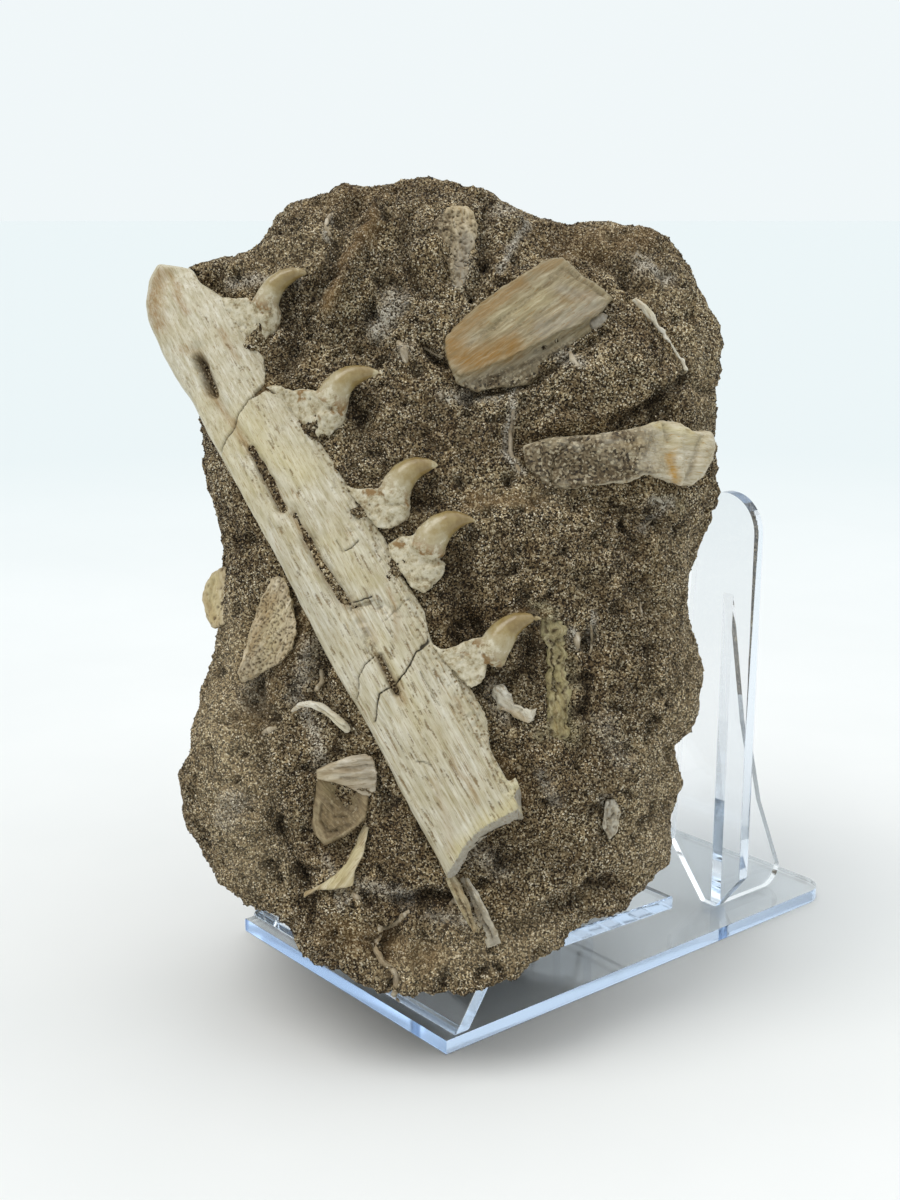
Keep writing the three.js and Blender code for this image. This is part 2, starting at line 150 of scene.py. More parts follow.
def ramp(tree, value, stops):
    """A scale of colours read at a value."""
    scale = add_node(tree, "ShaderNodeValToRGB", {0: value})
    marks = scale.color_ramp.elements
    stops = list(stops)
    while len(marks) < len(stops):
        marks.new(0.5)
    for mark, (position, colour) in zip(marks, stops):
        mark.position = position
        mark.color = linear(colour)
    return scale.outputs[0]


def spread(tree, value, low, high, to_low=0.0, to_high=1.0):
    """A value stretched from one range to another, and kept inside it."""
    return add_node(tree, "ShaderNodeMapRange", {
        "Value": value, "From Min": low, "From Max": high, "To Min": to_low,
        "To Max": to_high}).outputs[0]


def over(tree, share, below, above, blend="MIX"):
    """One colour laid over another."""
    mix = add_node(tree, "ShaderNodeMix", data_type="RGBA", blend_type=blend)
    for index, value in ((0, share), (6, below), (7, above)):
        if isinstance(value, bpy.types.NodeSocket):
            tree.links.new(value, mix.inputs[index])
        else:
            mix.inputs[index].default_value = value
    return mix.outputs[2]


def cloud(tree, place, scale, detail=3.0, roughness=0.55):
    """A cloudy value, about 0 to 1."""
    return add_node(tree, "ShaderNodeTexNoise", {
        "Vector": place, "Scale": scale, "Detail": detail, "Roughness": roughness}).outputs["Fac"]


def written(name, bm):
    """The shape that was built, as a new mesh."""
    mesh = bpy.data.meshes.new(name)
    bm.to_mesh(mesh)
    bm.free()
    return mesh


TABLE_RADIUS = 40.0
TABLE_TOP = -0.0003
table_finish, tree = new_finish("table")
place = own_place(tree)
# The table grows darker and bluer away from the middle: painted falloff of the softbox's light
away = add_node(tree, "ShaderNodeVectorMath", {0: place}, operation="LENGTH").outputs["Value"]
near = ramp(tree, cloud(tree, place, 6, 4), [(0.3, "ebedec"), (0.7, "f2f3f2")])
surface = over(tree, spread(tree, away, 0.12, 0.8), near, linear("dfe6e7"))
close_finish(tree, surface, 0.8, 0.0)
disc = bmesh.new()
bmesh.ops.create_circle(disc, cap_ends=True, radius=TABLE_RADIUS, segments=96)
bmesh.ops.translate(disc, verts=disc.verts, vec=(0, 0, TABLE_TOP))
table = placed("table", written("table", disc))
table.data.materials.append(table_finish)


# Easel
# Seven pieces of clear sheet acrylic with polished edges, glued: a base plate, a leaning riser
# with a ledge on it that the stone stands on, and two prongs with fins that hold it up behind.
EASEL = ("base_plate", "front_riser", "ledge", "prong_right", "fin_right", "prong_left", "fin_left")
POLISHED_EDGE = 0.00035
CLEAR_TINT = (0.56, 0.76, 1.0, 1)

acrylic, tree = new_finish("clear_acrylic")
place = own_place(tree)
handling = cloud(tree, place, 45, 5)
ripple = add_node(tree, "ShaderNodeBump", {
    "Strength": 0.04, "Distance": 0.001, "Height": cloud(tree, place, 30, 1)})
clear = add_node(tree, "ShaderNodeBsdfPrincipled", {
    "Base Color": (0.985, 0.993, 1.0, 1),
    "Roughness": spread(tree, handling, 0.45, 0.8, 0.015, 0.07),
    "IOR": 1.49,
    "Transmission Weight": 1.0,
    "Normal": ripple.outputs[0]})
tint = add_node(tree, "ShaderNodeVolumeAbsorption", {"Color": CLEAR_TINT, "Density": 10.0})
add_node(tree, "ShaderNodeOutputMaterial", {"Surface": clear.outputs[0], "Volume": tint.outputs[0]})

for name in EASEL:
    sheet = nodes[name]
    sheet.data.materials.clear()
    sheet.data.materials.append(acrylic)
    sheet.modifiers.new("joined", "WELD").merge_threshold = 1e-5
    edge = sheet.modifiers.new("polished_edge", "BEVEL")
    edge.width = POLISHED_EDGE
    edge.segments = 2
    edge.limit_method = "ANGLE"
    edge.angle_limit = math.radians(35)


# Sandstone
# The block of brown desert sandstone that everything else is held in. It is one natural lump,
# cleaned back around the fossils with hand tools, with a rough skin of loose and cemented sand.
FOSSILS = [name for name in nodes if name not in EASEL and name != "sandstone"]
STONE_STEP = 0.00135
STONE_SINK = 0.0022
LEDGE_TOP = 0.0173
LEDGE_NOSE = -0.049
LEDGE_SLOPE = math.tan(math.radians(1.7))
LEDGE_HALF_WIDTH = 0.0385
NEAR_LEDGE = 0.03
PRONG_TOP = 0.106
PRONG_FRONT = 0.0292


def joined(name, meshes, weld=0.0):
    """One mesh of several, with corners welded that lie closer than weld."""
    bm = bmesh.new()
    for mesh in meshes:
        bm.from_mesh(mesh)
    if weld:
        bmesh.ops.remove_doubles(bm, verts=bm.verts, dist=weld)
    return written(name, bm)


def packed(names):
    """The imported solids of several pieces, as one mesh."""
    return joined("packed", [nodes[name].data for name in names], 1e-6)


def even_skin(name, mesh, step):
    """A new object whose surface is the mesh's outside, in even small squares."""
    piece = placed(name, mesh)
    skin = piece.modifiers.new("even", "REMESH")
    skin.mode = "VOXEL"
    skin.voxel_size = step
    settled = piece.evaluated_get(bpy.context.evaluated_depsgraph_get())
    even = bpy.data.meshes.new_from_object(settled)
    piece.modifiers.clear()
    piece.data = even
    even.materials.clear()
    even.shade_smooth()
    return piece


def listed(items, field, kind=float, width=1):
    """One field of a mesh's points, corners or faces, as an array."""
    values = np.empty(len(items) * width, kind)
    items.foreach_get(field, values)
    return values if width == 1 else values.reshape(-1, width)


def points_of(mesh):
    return listed(mesh.vertices, "co", width=3)


def normals_of(mesh):
    return listed(mesh.vertex_normals, "vector", width=3)


def move_to(mesh, points):
    mesh.vertices.foreach_set("co", points.ravel())
    mesh.update()


def towards_eye(points, normals):
    """How squarely each point faces the front, from -1 to 1."""
    sight = EYE - points
    return (sight * normals).sum(1) / np.linalg.norm(sight, axis=1)


def front_of(points, normals):
    """1 on the side that faces the front, and 0 past the rim."""
    return np.clip(towards_eye(points, normals) * 3, 0, 1)


def split_front(mesh, least_facing):
    """Halves the squares on the side that is turned to the front."""
    facing = towards_eye(points_of(mesh), normals_of(mesh))
    bm = bmesh.new()
    bm.from_mesh(mesh)
    bm.edges.ensure_lookup_table()
    front = [edge for edge in bm.edges if min(facing[v.index] for v in edge.verts) > least_facing]
    bmesh.ops.subdivide_edges(bm, edges=front, cuts=1, use_grid_fill=True, smooth=0.5)
    bmesh.ops.triangulate(bm, faces=[f for f in bm.faces if len(f.verts) > 4])
    bm.to_mesh(mesh)
    bm.free()
    mesh.shade_smooth()


def picture(points):
    """Where points are seen in the picture, in its own 900 by 1200 measure."""
    sight = points - EYE
    depth = sight @ AHEAD
    return np.stack([PICTURE_WIDTH / 2 + FOCAL * (sight @ RIGHT) / depth,
                     PICTURE_HEIGHT / 2 - FOCAL * (sight @ UP) / depth], axis=1)


def spot(x, y, height):
    """The point seen at x, y that stands height millimetres over the middle of the stone."""
    depth = FACE_AWAY - height * 0.001
    return EYE + depth * (AHEAD + RIGHT * (x - PICTURE_WIDTH / 2) / FOCAL
                          + UP * (PICTURE_HEIGHT / 2 - y) / FOCAL)


def height_of(points):
    """How many millimetres points stand over the middle of the stone, towards the camera."""
    return (FACE_AWAY - (points - EYE) @ AHEAD) * 1000


def roughness_at(points, size, octaves=4, seed=0.0):
    """A cloudy value at each point, about -1 to 1, with lumps of the given size in metres."""
    shift = Vector((seed, seed * 1.7, -seed))
    return np.array([noise.fractal(Vector(p) / size + shift, 1.0, 2.1, octaves) for p in points])


def pores_at(points, size, open_share):
    """Round holes, as in spongy bone: 1 in the middle of each, 0 on the bars between."""
    away = np.array([noise.voronoi(Vector(p) / size)[0][0] for p in points])
    return np.clip(1 - away / open_share, 0, 1)


def seen(points, wobble=2.0, size=0.004):
    """Picture places with wavering edges, for strokes of the brush or the needle."""
    places = picture(points)
    places[:, 0] += wobble * roughness_at(points, size, 2, 5.1)
    places[:, 1] += wobble * roughness_at(points, size, 2, 9.3)
    return places


def stroke(places, path, width):
    """How strongly each place lies under a stroke along the path: 1 on it, 0 at its edge."""
    away = np.full(len(places), 1e9)
    for a, b in zip(path, path[1:] or path):
        start, step = np.array(a, float), np.subtract(b, a)
        share = np.clip((places - start) @ step / max(step @ step, 1e-9), 0, 1)
        away = np.minimum(away, np.linalg.norm(places - start - share[:, None] * step, axis=1))
    share = np.clip(1 - away / width, 0, 1)
    return share * share * (3 - 2 * share)


def strokes(places, marks, front):
    """The sum of several strokes on the side that faces the front."""
    total = np.zeros(len(places))
    for path, width, amount in marks:
        total += amount * stroke(places, path, width)
    return total * front


def strongest(places, marks, front):
    """The strongest of several strokes, for stains."""
    total = np.zeros(len(places))
    for path, width, amount in marks:
        total = np.maximum(total, amount * stroke(places, path, width))
    return total * front


def store(mesh, name, values):
    """Keeps a number or a place for each point, under a name that the finish reads."""
    values = np.asarray(values, np.float32)
    kind, field = ("FLOAT", "value") if values.ndim == 1 else ("FLOAT_VECTOR", "vector")
    mesh.attributes.new(name, kind, "POINT").data.foreach_set(field, values.ravel())


def tree_of(mesh):
    """The mesh's surface, for finding where a line of sight meets it."""
    return BVHTree.FromPolygons([v.co for v in mesh.vertices], [list(p.vertices) for p in mesh.polygons])


def height_seen(surface, x, y, guess):
    """How high the surface is where it is seen at x, y, or nearest to there at a guessed height."""
    way = Vector(spot(x, y, 0) - EYE).normalized()
    met = surface.ray_cast(Vector(EYE), way)[0] or surface.find_nearest(Vector(spot(x, y, guess)))[0]
    return height_of(np.array([met]))[0]


def prism(name, outline, low, high):
    """A solid with the outline as the camera sees it, between two heights at each corner."""
    bm = bmesh.new()
    bottom = [bm.verts.new(spot(x, y, h)) for (x, y), h in zip(outline, low)]
    top = [bm.verts.new(spot(x, y, h)) for (x, y), h in zip(outline, high)]
    bm.faces.new(bottom)
    bm.faces.new(top)
    for i in range(len(outline)):
        j = (i + 1) % len(outline)
        bm.faces.new((bottom[i], bottom[j], top[j], top[i]))
    bmesh.ops.triangulate(bm, faces=bm.faces)
    bmesh.ops.recalc_face_normals(bm, faces=bm.faces)
    return written(name, bm)


def settle(piece, node, finish):
    """Gives a finished piece its finish and its place in the part, and hides the imported node that it
    stands for.
    """
    piece.data.materials.append(finish)
    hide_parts(node)
    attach(piece, "root")


fossil_tree = tree_of(packed(FOSSILS))

# The block as one lump, with the shoulder that it keeps behind the jaw's top end
SHOULDER = [(188, 268), (206, 266), (228, 262), (244, 262), (250, 300), (226, 304), (206, 292)]
SHOULDER_LOW = [6] * len(SHOULDER)
SHOULDER_HIGH = [15, 17, 19, 21, 22, 19, 16]
block = even_skin("sandstone_block", joined("whole", [
    packed(["sandstone"] + FOSSILS), prism("shoulder", SHOULDER, SHOULDER_LOW, SHOULDER_HIGH)]), STONE_STEP)
stone = block.data
split_front(stone, 0.22)
here, out = points_of(stone), normals_of(stone)
facing = towards_eye(here, out)
front = np.clip(facing * 3, 0, 1)
near_fossil = np.array([fossil_tree.find_nearest(Vector(p))[3] or 0.0 for p in here])
covered = np.clip(1.6 - near_fossil / 0.0007, 0, 1)

# Hollows and ridges left by the needle and by weather. A mark is the places along it in the
# picture, its width there, and how high it stands in millimetres, or how strong it is.
STONE_CUTS = [
    ([(540, 437), (610, 430), (650, 402), (692, 376)], 8, -2.8),
    ([(548, 425), (600, 418), (640, 392), (680, 366)], 12, 1.6),
    ([(560, 352), (600, 378), (640, 360)], 34, 1.6), ([(425, 347), (441, 362), (458, 380)], 8, -4.0),
    ([(378, 215), (356, 262), (330, 312)], 13, 3.2), ([(352, 205), (334, 255), (312, 296)], 16, -2.8),
    ([(395, 240), (378, 290), (362, 330)], 14, -1.6), ([(345, 195), (300, 225), (262, 262)], 16, 1.2),
    ([(330, 240), (296, 262)], 12, -1.4), ([(285, 305), (300, 335), (285, 365)], 20, -3.2),
    ([(358, 349)], 7, -3.2), ([(402, 352)], 12, 1.4), ([(495, 635), (478, 640), (455, 638)], 8, -3.2),
    ([(452, 560), (462, 600), (470, 622)], 26, -3.0), ([(412, 500), (430, 500)], 16, -2.4),
    ([(352, 400), (365, 425), (350, 455)], 22, -2.6), ([(352, 470), (372, 478)], 10, -2.0),
    ([(528, 640), (522, 670), (508, 676)], 14, -2.6), ([(535, 660), (530, 700)], 16, -1.6),
    ([(395, 900), (430, 893), (470, 905)], 10, -4.6), ([(470, 905), (500, 925)], 8, -1.8),
    ([(405, 905), (392, 930), (380, 952), (392, 985)], 11, -3.0),
    ([(415, 920), (405, 955), (412, 990)], 12, 1.8), ([(300, 870), (308, 930)], 14, -3.0),
    ([(345, 905), (400, 925)], 14, 1.4), ([(255, 690), (262, 760), (275, 820), (300, 880)], 14, -2.6),
    ([(228, 700), (232, 790), (250, 860)], 20, 2.2), ([(290, 720), (300, 800)], 10, 1.4),
    ([(320, 655), (325, 690)], 14, -2.6), ([(440, 245)], 40, 2.4),
    ([(408, 215), (404, 262), (424, 294)], 10, -2.6), ([(488, 210), (486, 262), (470, 296)], 10, -2.6),
    ([(512, 225)], 24, 1.6), ([(560, 244), (600, 256), (640, 286)], 11, -2.4),
    ([(640, 270), (668, 290), (690, 330)], 16, 1.8), ([(430, 415), (500, 425), (560, 480)], 26, -1.4),
    ([(530, 500), (600, 500), (650, 520)], 16, -1.4), ([(600, 560), (640, 640), (630, 740)], 40, 1.4),
    ([(545, 615), (560, 660), (572, 730)], 12, 1.2), ([(588, 640), (590, 720), (578, 770)], 12, -1.4),
    ([(690, 380), (712, 395)], 9, -1.8), ([(610, 880), (560, 905), (520, 930)], 18, -2.2),
    ([(590, 850), (560, 800), (540, 760)], 20, 1.2), ([(500, 860), (530, 850)], 14, -1.6),
    ([(640, 700), (672, 690)], 12, -1.4), ([(236, 312), (256, 324)], 22, -2.0),
    ([(284, 400), (322, 418)], 22, -2.4), ([(298, 428), (316, 446)], 12, -1.6),
    ([(362, 498), (390, 510)], 20, -3.2), ([(400, 556), (424, 572)], 22, -3.4),
    ([(450, 660), (484, 664)], 22, -2.8), ([(470, 396), (530, 384), (592, 342)], 9, -2.0),
]
# Where the block's outline stands back from the smooth block, in millimetres
RIM_CUTS = [
    ([(184, 690), (182, 750)], 26, -2.3), ([(222, 898), (252, 912), (288, 926)], 24, -2.0),
    ([(196, 440), (200, 510)], 20, -1.3), ([(244, 258), (280, 215), (325, 195)], 26, -1.2),
    ([(370, 180), (430, 172), (496, 198)], 26, -1.4), ([(570, 220), (640, 222), (690, 242)], 26, -1.1),
    ([(690, 240), (716, 290), (732, 340), (724, 385)], 28, -2.4),
    ([(706, 510), (692, 570), (706, 700)], 22, -0.9),
]
cut = strokes(seen(here), STONE_CUTS, front)
rim_cut = strokes(picture(here), RIM_CUTS, np.clip(1.3 - facing * 1.6, 0, 1))

# The relief of the whole skin in millimetres: swells, ridges and nubbles, grit and pocks
RAISED = 1.2
craggy = np.clip(0.75 + 1.1 * roughness_at(here, 0.024, 2, 31.0), 0.25, 1.5)
swells = 1.5 * roughness_at(here, 0.017, 3)
ridges = -2.3 * np.abs(roughness_at(here, 0.0095, 3, 3.3))
nubbles = -1.5 * np.abs(roughness_at(here, 0.0036, 3, 7.7))
grit = 0.60 * roughness_at(here, 0.0016, 2, 5.5)
pocks = np.clip(roughness_at(here, 0.0040, 3, 12.5) - 0.24, 0, 1)
calm = np.clip(near_fossil / 0.007, 0.45, 1)
lumps = (swells + craggy * (ridges + nubbles) + grit + RAISED) * calm
lift = (lumps - 4.0 * pocks) * (1 - 0.85 * covered) + (cut + rim_cut) * (1 - covered)

# Under the fossils the skin sinks out of their way, more behind the jaw's left edge
beyond = np.clip((picture(here)[:, 0] - 175) / 60, 0, 1)
moved = here + out * (lift * 0.001 - STONE_SINK * covered * (2.6 - 1.6 * beyond))[:, None]

# The block stays over the ledge that it stands on and in front of the prongs behind it
x, y, z = moved.T
seat = LEDGE_TOP - (y - LEDGE_NOSE) * LEDGE_SLOPE + 0.0001
over_ledge = (y > LEDGE_NOSE - 0.004) & (np.abs(x) < LEDGE_HALF_WIDTH) & (here[:, 2] < NEAR_LEDGE)
moved[:, 2] = np.where(over_ledge, np.maximum(z, seat), z)
moved[:, 1] = np.where(moved[:, 2] < PRONG_TOP, np.minimum(y, PRONG_FRONT), y)
move_to(stone, moved)

# Stains: pale dust, rust brown and yellow-green bone powder; then the painted light and painted shade of
# the faces
DUST = [
    ([(392, 300), (378, 330)], 20, 0.9), ([(404, 352)], 13, 0.6),
    ([(515, 385), (508, 455), (520, 472)], 6, 1.0), ([(440, 395), (500, 400)], 10, 0.6),
    ([(560, 352), (575, 366)], 10, 0.8), ([(640, 262), (668, 276)], 14, 0.9),
    ([(590, 610), (596, 640)], 6, 0.9), ([(604, 800), (611, 832)], 7, 1.0),
    ([(574, 632), (578, 650)], 6, 1.0), ([(640, 530), (668, 500)], 4, 0.9),
    ([(296, 700), (310, 640)], 14, 0.5), ([(650, 500), (670, 505)], 9, 0.9),
    ([(330, 218), (327, 238)], 4, 1.0), ([(345, 880), (395, 890), (410, 898)], 12, 0.6),
    ([(240, 800), (230, 820)], 16, 0.5), ([(330, 860), (350, 900)], 6, 0.5),
    ([(465, 235), (462, 285)], 10, 1.0), ([(530, 218), (516, 250), (500, 270)], 6, 1.0),
    ([(500, 210), (524, 218)], 12, 0.6), ([(430, 912), (470, 925)], 10, 0.5),
    ([(300, 280), (230, 285)], 8, 0.7), ([(262, 640), (250, 700)], 20, 0.35),
    ([(600, 720), (620, 760)], 14, 0.3), ([(440, 212), (466, 212)], 5, 0.8),
    ([(300, 700), (320, 745), (318, 770)], 10, 0.7), ([(490, 690), (500, 720)], 14, 0.5),
    ([(540, 770), (552, 800)], 10, 0.6), ([(340, 905), (336, 880)], 8, 0.6),
    ([(470, 850), (500, 870)], 14, 0.5),
]
RUST = [
    ([(372, 228), (345, 268), (330, 305)], 16, 0.9), ([(310, 600), (250, 720)], 26, 0.35),
    ([(540, 500), (470, 500)], 14, 0.7), ([(400, 180), (300, 215)], 16, 0.25),
    ([(560, 250), (640, 240)], 24, 0.45), ([(330, 930), (430, 960)], 24, 0.5),
    ([(270, 385), (256, 392)], 6, 0.8), ([(505, 620), (545, 608)], 9, 0.6),
    ([(480, 790), (520, 800), (500, 760)], 12, 0.4), ([(390, 935), (385, 970)], 10, 0.8),
]
GREEN = [
    ([(528, 606), (545, 604), (557, 614)], 8, 0.9),
    ([(548, 615), (556, 660), (560, 700), (572, 738)], 15, 1.0), ([(540, 735), (570, 720)], 10, 0.7),
    ([(500, 690), (530, 720)], 12, 0.35), ([(655, 498), (680, 508)], 9, 0.6),
    ([(565, 650), (580, 690)], 8, 0.6),
]
# Painted light: broad parts of the block made lighter, where more light falls on them
PAINTED_LIGHT = [
    ([(236, 640), (226, 740), (250, 860)], 62, 1.0), ([(700, 560), (704, 660), (650, 840)], 60, 0.75),
    ([(400, 965), (540, 940)], 48, 0.7), ([(600, 230), (690, 300)], 46, 0.35),
    ([(250, 270), (330, 230)], 40, 0.35), ([(700, 340), (712, 430)], 30, 0.5),
    ([(480, 500), (560, 500)], 20, 0.5),
]
# Painted shade: the hollows, the crevices and the places under the teeth made darker
PAINTED_SHADE = [
    ([(450, 560), (470, 620)], 46, 0.9), ([(285, 305), (300, 345)], 26, 0.8),
    ([(352, 400), (362, 440)], 26, 0.6), ([(395, 902), (460, 900)], 16, 1.0),
    ([(520, 650), (512, 690)], 22, 0.8), ([(540, 432), (640, 408)], 9, 0.9),
    ([(300, 870), (308, 925)], 16, 0.8), ([(425, 350), (455, 380)], 12, 1.0),
    ([(412, 495), (440, 505)], 20, 0.8), ([(430, 425), (520, 440)], 40, 0.5),
    ([(515, 800), (560, 850)], 40, 0.4), ([(400, 225), (410, 280)], 12, 0.8),
]
wide = seen(here, 6.0, 0.007)
store(stone, "dust", strongest(wide, DUST, front))
store(stone, "rust", strongest(wide, RUST, front))
store(stone, "green", strongest(wide, GREEN, front))
store(stone, "light", strongest(wide, PAINTED_LIGHT, 0.4 + 0.6 * front))
store(stone, "dark", strongest(wide, PAINTED_SHADE, front))
thick_sand = np.clip(0.62 + 0.9 * roughness_at(here, 0.007, 3, 15.0), 0.15, 1.3)
store(stone, "sandy", np.clip(0.13 + 0.87 * front, 0, 1) * (1 - 0.75 * covered) * thick_sand)
# Painted shade: the deep mark darkens the cut hollows and the pocks
store(stone, "deep", np.clip(np.clip(-cut / 4.5, 0, 1) + pocks * 3, 0, 1))


def mark(tree, name):
    """A painted mark, as it is stored."""
    return add_node(tree, "ShaderNodeAttribute", attribute_name=name).outputs["Fac"]


def shared(tree, name, most):
    """A painted mark, as a share that goes up to most."""
    return spread(tree, mark(tree, name), 0, 1, 0, most)


def combined(tree, operation, first, second):
    """Two values put together by one step of arithmetic."""
    return add_node(tree, "ShaderNodeMath", {0: first, 1: second}, operation=operation).outputs[0]


def cells(tree, place, scale):
    """Small cells, as grains and pores: the way from each one's middle, and a tone of its own."""
    made = add_node(tree, "ShaderNodeTexVoronoi", {"Vector": place, "Scale": scale})
    tone = add_node(tree, "ShaderNodeSeparateColor", {"Color": made.outputs["Color"]})
    return made.outputs["Distance"], tone.outputs[0]


def weathered_lit_and_shaded(tree, place, sand, tone):
    """The patches of the block: random lit and shaded patches, painted light, painted shade, rust, bone
    powder and dust.
    """
    broad = cloud(tree, place, 60, 4, 0.6)
    close_up = cloud(tree, place, 260, 5, 0.65)
    # Shaded and lit copies of the sand: painted shade and painted light, in random patches and under the
    # light and dark marks
    shadow = over(tree, 1.0, sand, linear("9a876b"), "MULTIPLY")
    lit = over(tree, 1.0, sand, (1.5, 1.44, 1.34, 1), "MULTIPLY")
    sand = over(tree, spread(tree, broad, 0.40, 0.62, 0.5, 0.0), sand, shadow)
    sand = over(tree, spread(tree, close_up, 0.52, 0.66, 0.0, 0.6), sand, lit)
    sand = over(tree, spread(tree, close_up, 0.36, 0.48, 0.6, 0.0), sand, shadow)
    sand = over(tree, shared(tree, "light", 0.6), sand, lit)
    sand = over(tree, shared(tree, "light", 0.24), sand, linear("a59a81"))
    sand = over(tree, shared(tree, "dark", 0.5), sand, shadow)
    sand = over(tree, shared(tree, "rust", 0.55), sand, linear("86683f"))
    speckled = spread(tree, tone, 0.25, 0.65, 0.25, 1.0)
    for name, most, shades in (("green", 0.85, ("63553a", "9a8c66", "d0c6a4")),
                               ("dust", 0.95, ("5d5241", "a89e8b", "dcd6c8"))):
        share = combined(tree, "MULTIPLY", shared(tree, name, most), speckled)
        sand = over(tree, share, sand, ramp(tree, tone, zip((0.0, 0.4, 1.0), shades)))
    return sand


sand_skin, tree = new_finish("sandstone")
place = own_place(tree)
grain_shape, grain_tone = cells(tree, place, 3100)
SAND_SHADES = [(0.0, "1d150c"), (0.26, "41331f"), (0.5, "786649"), (0.76, "a1906f"), (0.93, "c4b798"),
               (1.0, "e0d7c0")]
sand = weathered_lit_and_shaded(tree, place, ramp(tree, grain_tone, SAND_SHADES), grain_tone)
# Painted shade in the cut hollows and the pocks
sand = over(tree, shared(tree, "deep", 0.6), sand, linear("2c241a"))
grainy = combined(tree, "SUBTRACT", cloud(tree, place, 900, 4, 0.6), grain_shape)
close_finish(tree, sand, spread(tree, grain_tone, 0, 1, 0.95, 0.75), 0.25, (0.8, 0.0003, grainy))
settle(block, "sandstone", sand_skin)


# Sand
# Single grains of quartz and dark rock that stand on the skin of the block, cemented to it.
# They are strewn over its faces, thickest on the cleaned front, in five lots of three colours.
# A lot is its darkest and lightest shade, how coarse it is, and the seed that it is strewn with.
SAND_LOTS = {
    "dark_sand_1": (("150e06", "35291a"), 1.20, 11),
    "dark_sand_2": (("261c10", "53432c"), 1.10, 12),
    "brown_sand_1": (("746247", "9c8967"), 1.05, 13),
    "brown_sand_2": (("958264", "c4b392"), 1.00, 14),
    "pale_sand": (("cabe9f", "f4ecd8"), 1.0, 15),
}
GRAIN_RADIUS = 0.00018
GRAINS_PER_LOT = 23500


def sand_tree():
    """Strews grains on a surface, more where its sandy mark is strong."""
    tree = bpy.data.node_groups.new("strewn_sand", "GeometryNodeTree")
    tree.is_modifier = True
    face = tree.interface
    face.new_socket("Surface", in_out="INPUT", socket_type="NodeSocketGeometry")
    for name, kind in (("Density", "NodeSocketFloat"), ("Grain Radius", "NodeSocketFloat"),
                       ("Seed", "NodeSocketInt"), ("Finish", "NodeSocketMaterial")):
        face.new_socket(name, in_out="INPUT", socket_type=kind)
    face.new_socket("Grains", in_out="OUTPUT", socket_type="NodeSocketGeometry")
    given = tree.nodes.new("NodeGroupInput").outputs
    sandy = add_node(tree, "GeometryNodeInputNamedAttribute", {"Name": "sandy"}, data_type="FLOAT")
    amount = combined(tree, "MULTIPLY", given["Density"], sandy.outputs["Attribute"])
    strewn = add_node(tree, "GeometryNodeDistributePointsOnFaces", {
        "Mesh": given["Surface"], "Density": amount, "Seed": given["Seed"]})
    grain = add_node(tree, "GeometryNodeMeshUVSphere", {
        "Segments": 4, "Rings": 2, "Radius": given["Grain Radius"]})
    turn = add_node(tree, "FunctionNodeRandomValue", {
        0: (0, 0, 0), 1: (6.28, 6.28, 6.28), "Seed": given["Seed"]}, data_type="FLOAT_VECTOR")
    size = add_node(tree, "FunctionNodeRandomValue", {
        0: (0.5, 0.5, 0.5), 1: (1.6, 1.6, 1.6), "Seed": given["Seed"]}, data_type="FLOAT_VECTOR")
    standing = add_node(tree, "GeometryNodeInstanceOnPoints", {
        "Points": strewn.outputs["Points"], "Instance": grain.outputs["Mesh"],
        "Rotation": turn.outputs[0], "Scale": size.outputs[0]})
    real = add_node(tree, "GeometryNodeRealizeInstances", {"Geometry": standing.outputs[0]})
    made = add_node(tree, "GeometryNodeSetMaterial", {
        "Geometry": real.outputs[0], "Material": given["Finish"]})
    add_node(tree, "NodeGroupOutput", {"Grains": made.outputs[0]})
    return tree


def sand_finish(name, darkest, lightest):
    """Grains of two shades and all between, which take the block's stains and its painted light and shade.
    """
    finish, tree = new_finish(name)
    place = own_place(tree)
    _, tone = cells(tree, place, 1500)
    sand = weathered_lit_and_shaded(tree, place, ramp(tree, tone, [(0.0, darkest), (1.0, lightest)]), tone)
    close_finish(tree, sand, spread(tree, cloud(tree, place, 700), 0.3, 0.7, 0.5, 0.9), 0.3)
    return finish


sandy = listed(stone.attributes["sandy"].data, "value", np.float32)
first_corners = listed(stone.polygons, "loop_start", int)
first_points = listed(stone.loops, "vertex_index", int)[first_corners]
sandy_area = float((listed(stone.polygons, "area") * sandy[first_points]).sum())
strewing = sand_tree()
sockets = {item.name: item.identifier for item in strewing.interface.items_tree}
for name, ((darkest, lightest), coarse, seed) in SAND_LOTS.items():
    lot = placed(name, stone.copy())
    maker = lot.modifiers.new("strewn_sand", "NODES")
    maker.node_group = strewing
    maker[sockets["Density"]] = GRAINS_PER_LOT / sandy_area
    maker[sockets["Grain Radius"]] = GRAIN_RADIUS * coarse
    maker[sockets["Seed"]] = seed
    maker[sockets["Finish"]] = sand_finish(name, darkest, lightest)
    strewn = bpy.data.meshes.new_from_object(lot.evaluated_get(bpy.context.evaluated_depsgraph_get()))
    lot.modifiers.clear()
    lot.data = strewn
    for unread in ("deep", "sandy"):
        if unread in strewn.attributes:
            strewn.attributes.remove(strewn.attributes[unread])
    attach(lot, "root")


